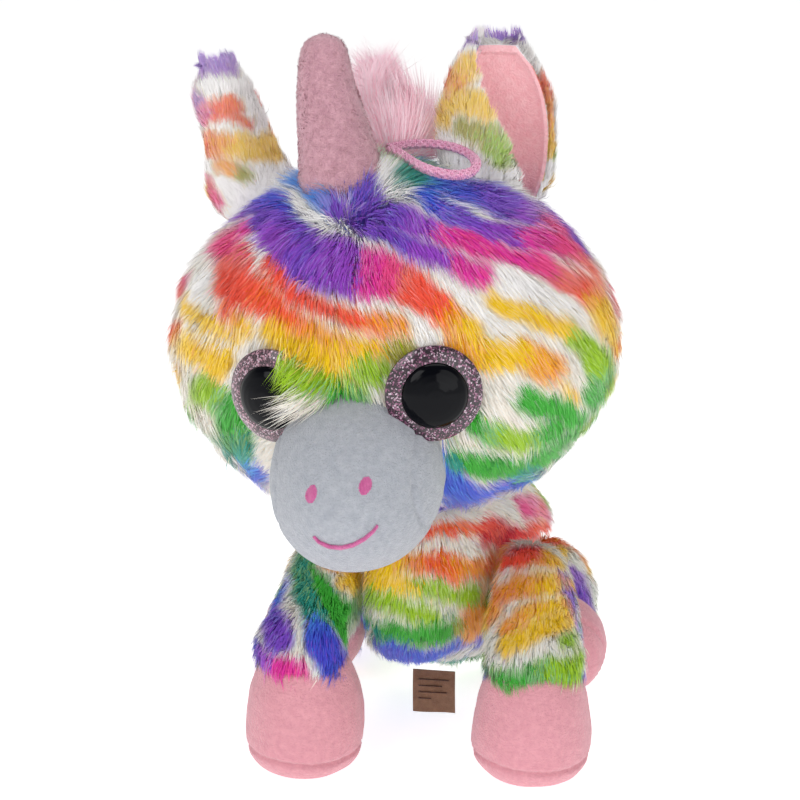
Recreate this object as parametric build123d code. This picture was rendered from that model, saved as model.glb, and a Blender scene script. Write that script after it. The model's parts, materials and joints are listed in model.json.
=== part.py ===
from build123d import *
import math
import os

# Sitting plush unicorn, in millimetres.  It faces -Y, +Z is up, the floor is Z = 0.
# Left and right are the toy's own: its left side is +X.
# Parts are drawn with the neck pivot above X = 0, Y = 0, then moved by ORIGIN_SHIFT.
ORIGIN_SHIFT = (6.885, -21.845, 0.0)

# Driving dimensions
CLOTH = 2.0             # fabric thickness of a sewn cover
FUR_CLOTH = 3.0         # thickness of the fur fabric on the head
FIT = 0.2               # space between a cover and its stuffing
GAP = 0.5               # space between two bodies that move on each other

NECK = Vector(0, 0, 58)
CHEST_RADIUS = 38.0
RUMP = Vector(4, 54, 42)
RUMP_RADIUS = 43.0
CHEST_HALF_WIDTH = 21.5
BELLY_HALF_WIDTH = 26.0

HEAD_RISE = 79.0        # neck pivot to head centre
HEAD_HALF_WIDTH = 79.0
HEAD_RADIUS = 63.0
HEAD_LEAN = -5.0
HEAD_YAW = -2.0

FRONT_MIDDLE = 8.0      # X of the middle plane between the front legs
REAR_MIDDLE = 3.0       # the same between the hind legs
SHOULDER = Vector(33, -12, 55)
SHOULDER_RADIUS = 18.0
ANKLE_RADIUS = 20.0
FRONT_HOOF_TOP = 36.0
FRONT_HOOF_RADIUS = 19.6
FRONT_SOLE_HEIGHT = 8.0
FRONT_FEET = {"right": Vector(-28.5, -49, 0), "left": Vector(47.5, -42, 0)}
PLUG_RADIUS = 10.5       # stuffing that passes from a leg into its hoof

HIP = Vector(34, 58, 26)
HIP_RADIUS = 24.0
HOCK = Vector(43, 34, 18.6)
HOCK_RADIUS = 17.6
HIND_HOOF_RADIUS = 18.6
HIND_HOOF_LENGTH = 24.0

EYE_RING_RADIUS = 15.6
EYE_PUPIL_RADIUS = 10.6
PUPIL_RISE = 4.0
SHANK_RADIUS = 2.5

HORN_BASE_RADIUS = 14.3
HORN_TIP_RADIUS = 5.8
EAR_ROOT_RADIUS = 8.0
EAR_NECK_RADIUS = 5.2
TAIL_ROOT_RADIUS = 7.0
TAIL_TIP_RADIUS = 9.0
LOOP_DIAMETER = 3.0

SIDES = {"right": -1, "left": 1}


def upright(base, direction):
    """Location whose local Z runs along a direction from a base point."""
    return Plane(origin=base, z_dir=direction).location


def front_point(point, side):
    return Vector(FRONT_MIDDLE + point.X * SIDES[side], point.Y, point.Z)


def rear_point(point, side):
    return Vector(REAR_MIDDLE + point.X * SIDES[side], point.Y, point.Z)


def capsule(start, start_radius, end, end_radius):
    """Two balls joined by the cone that touches both."""
    axis = end - start
    length = axis.length
    lean = (end_radius - start_radius) / length
    cosine = math.sqrt(1 - lean * lean)
    low = (start_radius * cosine, -start_radius * lean)
    high = (end_radius * cosine, length - end_radius * lean)
    low_angle = (math.asin(-lean) - math.pi / 2) / 2
    high_angle = (math.asin(-lean) + math.pi / 2) / 2
    low_mid = (start_radius * math.cos(low_angle), start_radius * math.sin(low_angle))
    high_mid = (end_radius * math.cos(high_angle), length + end_radius * math.sin(high_angle))
    with BuildPart() as body:
        with BuildSketch(Plane.XZ):
            with BuildLine():
                ThreePointArc((0, -start_radius), low_mid, low)
                Line(low, high)
                ThreePointArc(high, high_mid, (0, length + end_radius))
                Line((0, length + end_radius), (0, -start_radius))
            make_face()
        revolve(axis=Axis.Z)
    return upright(start, axis) * body.part


def ball(centre, radius):
    return Pos(centre.X, centre.Y, centre.Z) * Sphere(radius)


def spindle(half_length, radius):
    """Ellipsoid of revolution about Z."""
    with BuildPart() as body:
        with BuildSketch(Plane.XZ):
            Ellipse(radius, half_length)
            with Locations((-radius, 0)):
                Rectangle(2 * radius, 3 * half_length, mode=Mode.SUBTRACT)
        revolve(axis=Axis.Z)
    return body.part


def block(low, high):
    size = [high[k] - low[k] for k in range(3)]
    middle = [(high[k] + low[k]) / 2 for k in range(3)]
    return Pos(*middle) * Box(*size)


def rod(base, direction, radius, start, end):
    """Round bar along a direction, from one distance to another."""
    bar = Cylinder(radius, end - start, align=(Align.CENTER, Align.CENTER, Align.MIN))
    return upright(base, direction) * Pos(0, 0, start) * bar


# ---------------------------------------------------------------- head frame
HEAD_FRAME = Pos(NECK.X, NECK.Y, NECK.Z) * Rot(0, HEAD_LEAN, 0) * Rot(0, 0, HEAD_YAW)
HEAD_FRAME = HEAD_FRAME * Pos(0, 0, HEAD_RISE)


def head_point(x, y, z):
    """Point given from the head's centre, in the toy's own frame."""
    return (HEAD_FRAME * Pos(x, y, z)).position


def head_direction(x, y, z):
    return head_point(x, y, z) - head_point(0, 0, 0)


def head_form(inset=0.0):
    body = Rot(0, 90, 0) * spindle(HEAD_HALF_WIDTH - inset, HEAD_RADIUS - inset)
    return HEAD_FRAME * body


HORN_BASE = head_point(-9, -15, 59.5)
HORN_TIP = head_point(-13, -9, 100.5)
EAR_ROOTS = {"right": head_point(-44, 10, 50.0), "left": head_point(36.5, 20, 50.5)}


# ---------------------------------------------------------------- torso
def leg_pocket(sign, inset):
    """Room that both legs of one side swing in."""
    reach = SHOULDER_RADIUS + GAP + inset
    wall = CHEST_HALF_WIDTH - inset
    front = block((wall, -90, -5), (90, SHOULDER.Y + reach, SHOULDER.Z))
    front += block((wall, -90, -5), (90, SHOULDER.Y, SHOULDER.Z + reach))
    front += Pos(55 + wall, SHOULDER.Y, SHOULDER.Z) * Rot(0, 90, 0) * Cylinder(reach, 110)
    reach = HIP_RADIUS + GAP + inset
    wall = BELLY_HALF_WIDTH - inset
    rear = block((wall, -20, -5), (90, HIP.Y, HIP.Z + reach))
    rear += Pos(55 + wall, HIP.Y, HIP.Z) * Rot(0, 90, 0) * Cylinder(reach, 110)
    if sign < 0:
        front = mirror(front, about=Plane.YZ)
        rear = mirror(rear, about=Plane.YZ)
    return Pos(FRONT_MIDDLE, 0, 0) * front + Pos(REAR_MIDDLE, 0, 0) * rear


TAIL_ROOT = RUMP + Vector(0, 0.966, 0.259) * (RUMP_RADIUS + 5.6)
TAIL_TIP = Vector(TAIL_ROOT.X, TAIL_ROOT.Y + 22, TAIL_ROOT.Z - 20)


def torso_form(inset=0.0):
    body = capsule(NECK, CHEST_RADIUS - inset, RUMP, RUMP_RADIUS - inset)
    body = body - block((-90, -90, -60), (90, 120, inset))
    for sign in SIDES.values():
        body = body - leg_pocket(sign, inset)
    return body - ball(TAIL_ROOT, TAIL_ROOT_RADIUS + GAP + inset)


def make_torso():
    pellets = Pos(RUMP.X, RUMP.Y, 4) * Cylinder(16, 9, align=(Align.CENTER, Align.CENTER, Align.MIN))
    pellets = fillet(pellets.edges(), 4)
    cover = torso_form() - torso_form(CLOTH)
    stuffing = torso_form(CLOTH + FIT)
    room = Pos(RUMP.X, RUMP.Y, 3.6) * Cylinder(16.4, 9.8, align=(Align.CENTER, Align.CENTER, Align.MIN))
    stuffing = stuffing - room
    stuffing = stuffing.solids().sort_by(SortBy.VOLUME)[-1]
    return {"body_cover": cover, "body_stuffing": stuffing, "seat_pellet_bag": pellets}


def make_neck_seam():
    """Ring of doubled fabric where the head is sewn to the body."""
    ring = ball(NECK, CHEST_RADIUS + GAP + 1.0) - ball(NECK, CHEST_RADIUS + GAP)
    top = NECK.Z + CHEST_RADIUS
    band = block((-60, -60, top - 0.9), (60, 60, top - 0.1))
    return {"neck_seam_ring": ring & band}


# ---------------------------------------------------------------- head
CUP_RADIUS = CHEST_RADIUS + 2 * GAP + 1.0
MUZZLE_CENTRE = head_point(-3, -52, -30)
MUZZLE_AXIS = head_direction(0, -0.93, -0.37)
MUZZLE_RADIUS = 28.5
MUZZLE_HALF_LENGTH = 37.5
EYE_AXES = {"right": head_direction(-0.28, -0.958, -0.02), "left": head_direction(0.33, -0.94, -0.02)}
EYE_SEATS = {"right": head_point(-27.5, -56.9, -2.5), "left": head_point(25.0, -57.6, -3.0)}


def muzzle_form(inset=0.0):
    body = spindle(MUZZLE_HALF_LENGTH - inset, MUZZLE_RADIUS - inset)
    return upright(MUZZLE_CENTRE, MUZZLE_AXIS) * body


def torso_clearance():
    """The back of the torso as the head meets it when it nods back."""
    room = ball(NECK, CUP_RADIUS)
    grown = capsule(NECK, CHEST_RADIUS + GAP, RUMP, RUMP_RADIUS + GAP)
    turn_point = Pos(NECK.X, NECK.Y, NECK.Z)
    for yaw in (-20, 0, 20):
        for nod in (0, 6):
            room += turn_point * Rot(nod, 0, 0) * Rot(0, 0, yaw) * turn_point.inverse() * grown
    return room


def make_head():
    clearance = torso_clearance()
    horn_dish = ball(HORN_BASE, HORN_BASE_RADIUS + GAP)
    cover = head_form() - head_form(FUR_CLOTH)
    filling = head_form(FUR_CLOTH + FIT)
    cuts = [clearance, horn_dish]
    for side in SIDES:
        cuts.append(ball(EAR_ROOTS[side], EAR_ROOT_RADIUS + GAP))
    for side in SIDES:
        seat = EYE_SEATS[side]
        axis = EYE_AXES[side]
        cover = cover - rod(seat, axis, EYE_RING_RADIUS + 0.3, 0, 12)
        cover = cover - rod(seat, axis, SHANK_RADIUS + FIT, -12, 4)
        filling = filling - ball(seat - axis.normalized() * 5, 10.5)
    for cut in cuts:
        cover = cover - cut
        filling = filling - cut
    muzzle = muzzle_form() - muzzle_form(CLOTH) - head_form(-0.1) - clearance
    muzzle_filling = muzzle_form(CLOTH + FIT) - head_form(-0.3) - clearance
    for side in SIDES:
        guard = rod(EYE_SEATS[side], EYE_AXES[side], EYE_RING_RADIUS + 0.3, -1, 14)
        muzzle = muzzle - guard
        muzzle_filling = muzzle_filling - guard
    return {"head_cover": cover, "head_stuffing": filling,
            "muzzle_cover": muzzle, "muzzle_stuffing": muzzle_filling}


def make_eyes():
    parts = {}
    washers = []
    for side in SIDES:
        place = upright(EYE_SEATS[side], EYE_AXES[side])
        with BuildPart() as ring:
            with BuildSketch(Plane.XZ):
                with BuildLine():
                    Polyline((SHANK_RADIUS + 0.1, 0), (EYE_RING_RADIUS, 0), (EYE_RING_RADIUS, 1.0))
                    ThreePointArc((EYE_RING_RADIUS, 1.0), (EYE_RING_RADIUS - 2.4, 2.5),
                                  (EYE_PUPIL_RADIUS + 0.1, 3.4))
                    Polyline((EYE_PUPIL_RADIUS + 0.1, 3.4), (EYE_PUPIL_RADIUS + 0.1, 2.0),
                             (SHANK_RADIUS + 0.1, 2.0), (SHANK_RADIUS + 0.1, 0))
                make_face()
            revolve(axis=Axis.Z)
        dome_radius = (EYE_PUPIL_RADIUS ** 2 + PUPIL_RISE ** 2) / (2 * PUPIL_RISE)
        dome = Pos(0, 0, 3.4 + PUPIL_RISE - dome_radius) * Sphere(dome_radius)
        disc = Cylinder(EYE_PUPIL_RADIUS, 8, align=(Align.CENTER, Align.CENTER, Align.MIN))
        pupil = (Pos(0, 0, 2.1) * disc) & dome
        pupil = pupil + Pos(0, 0, -13) * Cylinder(
            SHANK_RADIUS, 16, align=(Align.CENTER, Align.CENTER, Align.MIN))
        washer = Cylinder(8, 1.5, align=(Align.CENTER, Align.CENTER, Align.MIN))
        washer = washer - Cylinder(SHANK_RADIUS + 0.1, 10)
        parts["eye_ring_" + side] = place * ring.part
        parts["eye_pupil_" + side] = place * pupil
        washers.append(place * Pos(0, 0, -6.4) * washer)
    parts["eye_lock_washers"] = Compound(children=[shape.solid() for shape in washers])
    return parts


def muzzle_patch(x, y, z, width, height, turn):
    """Raised embroidery on the muzzle, as a slice of its surface."""
    probe = head_point(x, y, z)
    outline = Ellipse(width / 2, height / 2)
    bar = upright(probe, head_direction(0, -1, 0)) * Rot(0, 0, turn) * extrude(outline, 60, both=True)
    skin = muzzle_form(-0.6) - muzzle_form(-0.05)
    front = ball(head_point(x, -92, z), 30)
    return (skin & bar) & front


def make_face_stitches():
    parts = {}
    for side, sign in SIDES.items():
        parts["nostril_" + side] = muzzle_patch(9.4 * sign - 4.0, -90, -24.5 + 1.4 * sign, 4.4, 6.2, 0)
    skin = muzzle_form(-0.7) - muzzle_form(-0.05)
    band = extrude(Circle(13.4) - Circle(11.8), 40, both=True)
    band = HEAD_FRAME * Pos(-4, -85, -34.0) * Rot(90, 0, 0) * band
    lower = HEAD_FRAME * block((-20, -130, -70), (20, -60, -41.5))
    parts["smile_stitching"] = (skin & band) & lower
    return parts


def make_mane():
    """Root strip of the long pink mane, from behind the horn to the nape."""
    arc_radius = HEAD_RADIUS + 2.5
    strip = Rot(0, 90, 0) * Torus(arc_radius, 6.0)
    keep = block((-30, 13, -14), (30, 120, 120))
    crest = HEAD_FRAME * (strip & keep)
    tuft = capsule(head_point(1, 22, 60), 9.0, head_point(2, 25, 84.5), 10.5)
    mane = crest + tuft
    mane = mane - head_form(-0.1) - ball(HORN_BASE, HORN_BASE_RADIUS + 3)
    return {"mane_tuft": mane}


# ---------------------------------------------------------------- ears and horn
EAR_SHAPES = {
    # side: leaf height, leaf width, lean direction, turn about the ear's length
    "right": (54.0, 35.0, Vector(-0.22, 0.02, 1.0), 60.0),
    "left": (54.0, 40.0, Vector(-0.03, 0.05, 1.0), -14.0),
}


def make_ear(side):
    height, width, direction, turn = EAR_SHAPES[side]
    root = EAR_ROOTS[side]
    frame = Plane(origin=root, x_dir=Vector(1, 0, 0), z_dir=direction)
    stand = frame.location * Rot(0, 0, turn)
    leaf = extrude(Plane.XZ * Pos(0, height / 2) * Ellipse(width / 2, height / 2), 5.0, both=True)
    leaf = fillet(leaf.edges(), 3.5)
    recess = extrude(Plane.XZ * Pos(0, height / 2 + 2) * Ellipse(width / 2 - 5, height / 2 - 9), 3, both=True)
    recess = Pos(0, -5.0, 0) * recess
    clearance = head_form(-4.8)
    fur = stand * (leaf - recess)
    fur = fur - clearance
    fur = fur + (ball(root, EAR_ROOT_RADIUS) + capsule(root, EAR_NECK_RADIUS, root + direction.normalized() * 10, EAR_NECK_RADIUS))
    lining = extrude(Plane.XZ * Pos(0, height / 2 + 2) * Ellipse(width / 2 - 5.2, height / 2 - 9.2), 0.9, both=True)
    lining = stand * (Pos(0, -2.9, 0) * lining) - clearance
    fur = fur - rod_guard(stand, height, width)
    return {"ear_%s_fur" % side: fur, "ear_%s_lining" % side: lining}


def rod_guard(stand, height, width):
    """Keeps the ear's root out of the space of its lining."""
    guard = extrude(Plane.XZ * Pos(0, height / 2 + 2) * Ellipse(width / 2 - 5, height / 2 - 9), 1.2, both=True)
    return stand * (Pos(0, -3.2, 0) * guard)


def make_horn():
    outer = capsule(HORN_BASE, HORN_BASE_RADIUS, HORN_TIP, HORN_TIP_RADIUS)
    inner = capsule(HORN_BASE, HORN_BASE_RADIUS - CLOTH, HORN_TIP, HORN_TIP_RADIUS - CLOTH)
    filling = capsule(HORN_BASE, HORN_BASE_RADIUS - CLOTH - FIT, HORN_TIP, HORN_TIP_RADIUS - CLOTH - FIT)
    return {"horn_cover": outer - inner, "horn_stuffing": filling}


# ---------------------------------------------------------------- legs
def front_hoof_form(foot, inset=0.0):
    r = FRONT_HOOF_RADIUS - inset
    with BuildPart() as body:
        with BuildSketch(Plane.XZ):
            with BuildLine():
                Line((0, inset), (r - 7.5, inset))
                Spline((r - 7.5, inset), (r - 1.2, 8.0), (r, 17.0), (r - 2.6, FRONT_HOOF_TOP - inset),
                       tangents=[(1, 0), (-0.45, 1)])
                Polyline((r - 2.6, FRONT_HOOF_TOP - inset), (0, FRONT_HOOF_TOP - inset), (0, inset))
            make_face()
        revolve(axis=Axis.Z)
    return Pos(foot.X, foot.Y, 0) * body.part


def front_sleeve_form(side, inset=0.0):
    foot = FRONT_FEET[side]
    ankle = Vector(foot.X, foot.Y + 2.5, FRONT_HOOF_TOP + 1)
    body = capsule(front_point(SHOULDER, side), SHOULDER_RADIUS - inset, ankle, ANKLE_RADIUS - inset)
    body = body - block((-90, -120, -20), (90, 60, FRONT_HOOF_TOP + 0.2 + inset))
    inner = CHEST_HALF_WIDTH + GAP + inset
    if side == "left":
        return body & block((FRONT_MIDDLE + inner, -120, -20), (120, 60, 120))
    return body & block((-120, -120, -20), (FRONT_MIDDLE - inner, 60, 120))


def make_front_leg(side):
    foot = FRONT_FEET[side]
    opening = Pos(foot.X, foot.Y + 2, FRONT_HOOF_TOP) * Cylinder(PLUG_RADIUS + FIT, 14)
    plug = Pos(foot.X, foot.Y + 2, FRONT_HOOF_TOP) * Cylinder(PLUG_RADIUS, 12)
    sleeve = front_sleeve_form(side) - front_sleeve_form(side, CLOTH) - opening
    hoof = front_hoof_form(foot) - front_hoof_form(foot, CLOTH) - opening
    low = block((-120, -120, -5), (120, 60, FRONT_SOLE_HEIGHT))
    filling = front_sleeve_form(side, CLOTH + FIT) + front_hoof_form(foot, CLOTH + FIT) + plug
    return {
        "front_leg_%s_fur" % side: sleeve,
        "front_leg_%s_stuffing" % side: filling,
        "front_leg_%s_hoof" % side: hoof - low,
        "front_leg_%s_sole" % side: hoof & low,
    }


def hind_sleeve_form(side, inset=0.0):
    hip = rear_point(HIP, side)
    hock = rear_point(HOCK, side)
    body = capsule(hip, HIP_RADIUS - inset, hock, HOCK_RADIUS - inset)
    axis = hock - hip
    body = body - rod(hock, axis, 60, -inset, 60)
    body = body - block((-120, -120, -60), (120, 160, inset + 0.4))
    inner = BELLY_HALF_WIDTH + GAP + inset
    if side == "left":
        return body & block((REAR_MIDDLE + inner, -120, -20), (120, 160, 120))
    return body & block((-120, -120, -20), (REAR_MIDDLE - inner, 160, 120))


def hind_hoof_form(side, inset=0.0):
    hock = rear_point(HOCK, side)
    r = HIND_HOOF_RADIUS - inset
    end = HIND_HOOF_LENGTH - inset
    with BuildPart() as body:
        with BuildSketch(Plane.XZ):
            with BuildLine():
                Line((0, 0.2 + inset), (r - 2.2, 0.2 + inset))
                Spline((r - 2.2, 0.2 + inset), (r, 9.0), (r - 3.4, 18.0), (0, end),
                       tangents=[(0.4, 1), (-1, 0)])
                Line((0, end), (0, 0.2 + inset))
            make_face()
        revolve(axis=Axis.Z)
    axis = hock - rear_point(HIP, side)
    flat = Vector(axis.X, axis.Y, 0)
    shape = upright(hock, axis.normalized() * 0.8 + flat.normalized() * 0.6) * body.part
    body = shape - block((-120, -120, -60), (120, 160, inset))
    return body - rod(hock, axis, 60, -60, 0.2 + inset)


def make_hind_leg(side):
    hock = rear_point(HOCK, side)
    axis = hock - rear_point(HIP, side)
    opening = rod(hock, axis, 10.2, -6, 7)
    plug = rod(hock, axis, 10, -5.5, 6.5)
    sleeve = hind_sleeve_form(side) - hind_sleeve_form(side, CLOTH) - opening
    hoof = hind_hoof_form(side) - hind_hoof_form(side, CLOTH) - opening
    sole_cut = rod(hock, axis, 60, 13, 60)
    filling = hind_sleeve_form(side, CLOTH + FIT) + hind_hoof_form(side, CLOTH + FIT) + plug
    return {
        "hind_leg_%s_fur" % side: sleeve,
        "hind_leg_%s_stuffing" % side: filling,
        "hind_leg_%s_hoof" % side: hoof - sole_cut,
        "hind_leg_%s_sole" % side: hoof & sole_cut,
    }


# ---------------------------------------------------------------- tail, label, hanging loop
def make_tail():
    outer = capsule(TAIL_ROOT, TAIL_ROOT_RADIUS, TAIL_TIP, TAIL_TIP_RADIUS)
    return {"tail_tuft": outer}


LABEL_WIDTH = 15.0
LABEL_HEIGHT = 16.0
LABEL_PLACE = Vector(9, -9, 12.1)


def make_label():
    plate = extrude(Plane.XZ * Rectangle(LABEL_WIDTH, LABEL_HEIGHT), 0.5, both=True)
    plate = fillet(plate.edges().filter_by(Axis.Y), 2.0)
    return {"care_label": Pos(LABEL_PLACE.X, LABEL_PLACE.Y, LABEL_PLACE.Z) * plate}


# The cord's route over the head's crown, from its sewn end, out to its bight and back.
LOOP_ROUTE = [
    head_point(3.0, 3.0, 66.0),
    head_point(6.5, 8.0, 66.0),
    head_point(14.0, 10.0, 66.0),
    head_point(23.0, 8.5, 65.0),
    head_point(31.0, 4.0, 62.5),
    head_point(34.5, -3.0, 60.0),
    head_point(33.5, -10.5, 58.2),
    head_point(28.0, -16.0, 58.8),
    head_point(21.0, -16.5, 60.9),
    head_point(14.5, -12.0, 63.0),
    head_point(9.0, -4.5, 65.2),
    head_point(4.5, -1.5, 66.2),
]


def corner_radii(points):
    """Largest arc that each corner's two runs allow."""
    radii = []
    for before, corner, after in zip(points, points[1:], points[2:]):
        first = corner - before
        second = after - corner
        turn = math.radians(first.get_angle(second))
        radii.append(0.45 * min(first.length, second.length) / math.tan(turn / 2))
    return radii


def make_loop():
    """The cord, and the bar tack that sews its two ends to the head."""
    radii = corner_radii(LOOP_ROUTE)
    path = FilletPolyline(*LOOP_ROUTE, radius=radii)
    start = path % 0
    tube = sweep(Plane(origin=path @ 0, z_dir=start) * Circle(LOOP_DIAMETER / 2), path=path)
    section = math.pi * LOOP_DIAMETER ** 2 / 4
    print("loop radii", [round(value, 1) for value in radii])
    print("loop length", round(path.length, 1), "volume ratio", round(tube.volume / section / path.length, 4))
    tack = HEAD_FRAME * Pos(0.4, 1.8, 63.4) * Box(1.8, 6.6, 2.6) - head_form(-0.1)
    return {"hanging_loop": tube, "loop_bar_tack": tack}


def main():
    parts = {}
    parts.update(make_torso())
    parts.update(make_neck_seam())
    parts.update(make_head())
    parts.update(make_eyes())
    parts.update(make_face_stitches())
    parts.update(make_mane())
    parts.update(make_horn())
    for side in SIDES:
        parts.update(make_ear(side))
        parts.update(make_front_leg(side))
        parts.update(make_hind_leg(side))
    parts.update(make_tail())
    parts.update(make_label())
    parts.update(make_loop())
    os.makedirs("parts", exist_ok=True)
    low = [1e9, 1e9, 1e9]
    high = [-1e9, -1e9, -1e9]
    for name, shape in parts.items():
        placed = Pos(*ORIGIN_SHIFT) * shape
        box = placed.bounding_box()
        low = [min(low[k], list(box.min)[k]) for k in range(3)]
        high = [max(high[k], list(box.max)[k]) for k in range(3)]
        export_step(placed, "parts/" + name + ".step")
    print("box", [round(v, 2) for v in low], [round(v, 2) for v in high])


main()
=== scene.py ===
import json
import math
import bpy
import numpy as np
from mathutils import Matrix, Vector


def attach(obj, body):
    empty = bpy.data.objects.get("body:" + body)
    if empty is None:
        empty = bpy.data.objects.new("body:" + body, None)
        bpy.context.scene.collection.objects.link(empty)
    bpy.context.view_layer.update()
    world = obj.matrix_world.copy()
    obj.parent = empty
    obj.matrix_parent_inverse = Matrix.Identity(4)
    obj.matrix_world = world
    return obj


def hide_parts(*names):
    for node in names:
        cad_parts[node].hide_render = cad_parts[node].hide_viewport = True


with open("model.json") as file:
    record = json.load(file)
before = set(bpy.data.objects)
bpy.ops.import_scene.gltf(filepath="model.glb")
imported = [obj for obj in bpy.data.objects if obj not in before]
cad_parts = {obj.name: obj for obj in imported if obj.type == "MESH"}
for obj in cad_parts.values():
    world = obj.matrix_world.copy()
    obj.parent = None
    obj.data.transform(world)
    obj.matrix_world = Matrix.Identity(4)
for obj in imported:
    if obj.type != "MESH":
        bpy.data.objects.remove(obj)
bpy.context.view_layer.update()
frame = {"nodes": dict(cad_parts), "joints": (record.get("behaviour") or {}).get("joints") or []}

# Plush unicorn.  Lengths are in millimetres until a mesh is made; MM turns them into metres.
MM = 0.001
SEED = 7
FUR_SHARE = 1.0
FUR_WIDTH = 0.3
STRANDS = {"head": 262000, "torso": 110000, "front_leg": 50000, "hind_leg": 34000, "ear": 38000,
           "ear_rim": 1500, "horn": 9000, "mane": 15000, "nape": 11000, "tail": 9000}
PILE_LENGTH = {"head": 7.4, "torso": 5.6, "leg": 5.6, "ear": 5.0, "ear_rim": 3.2, "horn": 0.8}
RANDOM = np.random.default_rng(SEED)


def strands(part):
    return int(STRANDS[part] * FUR_SHARE)


# ---------------------------------------------------------------- places taken from the frame
def joint(name):
    return next(entry for entry in frame["joints"] if entry["name"] == name)


NECK_HEIGHT = 58.0
HEAD_RISE = 79.0
HEAD_SIZE = np.array([79.0, 63.0, 63.0])
HEAD_LEAN = math.radians(-5.0)
HEAD_YAW = math.radians(-2.0)
NECK = np.array(joint("head_turn")["pos_m"]) / MM
SHIFT = NECK - np.array([0.0, 0.0, NECK_HEIGHT])


def turn(axis, angle):
    return np.array(Matrix.Rotation(angle, 3, axis))


HEAD_TURN = turn("Y", HEAD_LEAN) @ turn("Z", HEAD_YAW)
HEAD_CENTRE = NECK + HEAD_TURN @ np.array([0.0, 0.0, HEAD_RISE])


def from_head(points):
    """Head frame (origin at the head's centre) to the row frame, in mm."""
    return np.asarray(points, float) @ HEAD_TURN.T + HEAD_CENTRE


def to_head(points):
    return (np.asarray(points, float) - HEAD_CENTRE) @ HEAD_TURN


def from_body(points):
    """Body frame (X and Y zero at the neck, Z from the floor) to the row frame, in mm."""
    return np.asarray(points, float) + SHIFT


def unit(vectors):
    vectors = np.asarray(vectors, float)
    return vectors / np.maximum(np.linalg.norm(vectors, axis=-1, keepdims=True), 1e-9)


# ---------------------------------------------------------------- camera
VIEW_AZIMUTH = math.radians(10.0)
VIEW_ELEVATION = math.radians(16.0)
VIEW_DISTANCE = 780.0
VIEW_TARGET = NECK + np.array([-8.3, 20.0, 52.0])
LENS_MM = 99.0
SENSOR_MM = 36.0
LOOK = np.array([-math.sin(VIEW_AZIMUTH) * math.cos(VIEW_ELEVATION),
                 math.cos(VIEW_AZIMUTH) * math.cos(VIEW_ELEVATION), -math.sin(VIEW_ELEVATION)])
RIGHT = np.array([math.cos(VIEW_AZIMUTH), math.sin(VIEW_AZIMUTH), 0.0])
UP = np.cross(RIGHT, LOOK)
EYE_POINT = VIEW_TARGET - LOOK * VIEW_DISTANCE


def make_camera():
    data = bpy.data.cameras.new("camera")
    data.lens = LENS_MM
    data.sensor_width = SENSOR_MM
    camera = bpy.data.objects.new("camera", data)
    bpy.context.scene.collection.objects.link(camera)
    camera.matrix_world = Matrix((
        (RIGHT[0], UP[0], -LOOK[0], EYE_POINT[0] * MM),
        (RIGHT[1], UP[1], -LOOK[1], EYE_POINT[1] * MM),
        (RIGHT[2], UP[2], -LOOK[2], EYE_POINT[2] * MM),
        (0, 0, 0, 1)))
    bpy.context.scene.camera = camera


make_camera()


# ---------------------------------------------------------------- meshes
def add_object(name, data, body, slot, *nodes):
    piece = bpy.data.objects.new(name, data)
    bpy.context.scene.collection.objects.link(piece)
    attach(piece, body)
    if nodes:
        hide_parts(*nodes)
    return piece


def new_mesh(name, points, faces, smooth=True):
    """Mesh from points in mm and faces."""
    data = bpy.data.meshes.new(name)
    places = [tuple(p) for p in np.asarray(points, float) * MM]
    data.from_pydata(places, [], [tuple(map(int, face)) for face in faces])
    data.validate()
    if smooth:
        data.shade_smooth()
    data.update()
    return data


def make_piece(name, points, faces, material, body, slot, *nodes):
    """One piece from points and faces, with its material."""
    piece = add_object(name, new_mesh(name, points, faces), body, slot, *nodes)
    if material:
        set_material(piece, material)
    return piece


def set_material(obj, material):
    obj.data.materials.clear()
    obj.data.materials.append(material)


def grid_faces(rows, columns, wrap=True):
    """Quads of a grid of points, whose columns may close on themselves."""
    faces = []
    for r in range(rows - 1):
        for c in range(columns if wrap else columns - 1):
            d = (c + 1) % columns
            faces.append((r * columns + c, r * columns + d, (r + 1) * columns + d, (r + 1) * columns + c))
    return faces


def edge_loop(rows, columns):
    """Points around the edge of a grid, down its first column to begin with."""
    loop = [r * columns for r in range(rows)] + [(rows - 1) * columns + c for c in range(1, columns)]
    loop += [r * columns + columns - 1 for r in range(rows - 2, -1, -1)]
    return loop + list(range(columns - 2, 0, -1))


def rim_faces(loop, count):
    """Quads that join the edge of a grid to the edge of a second one, count points later."""
    return [(a, b, b + count, a + count) for a, b in zip(loop, loop[1:] + loop[:1])]


def quads_to_triangles(faces):
    return np.array([(a, b, c) for a, b, c, d in faces] + [(a, c, d) for a, b, c, d in faces])


def gap_to(points, place):
    return np.linalg.norm(points - place, axis=1)


def fade(distance, start, reach, top=1.0):
    """Full near a place, and none once the distance is past start and reach."""
    return np.clip(top - (distance - start) / reach, 0, 1)


def off_axis(points, place, axis):
    """Parts of the points that stand square to an axis through a place, and the way along it."""
    away = points - place
    along = away @ axis
    return away - along[:, None] * axis, along


def axes_about(axis, hint):
    """Three square directions whose last is the axis."""
    across = unit(np.cross(hint, axis))
    return np.array([across, np.cross(axis, across), axis])


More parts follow.
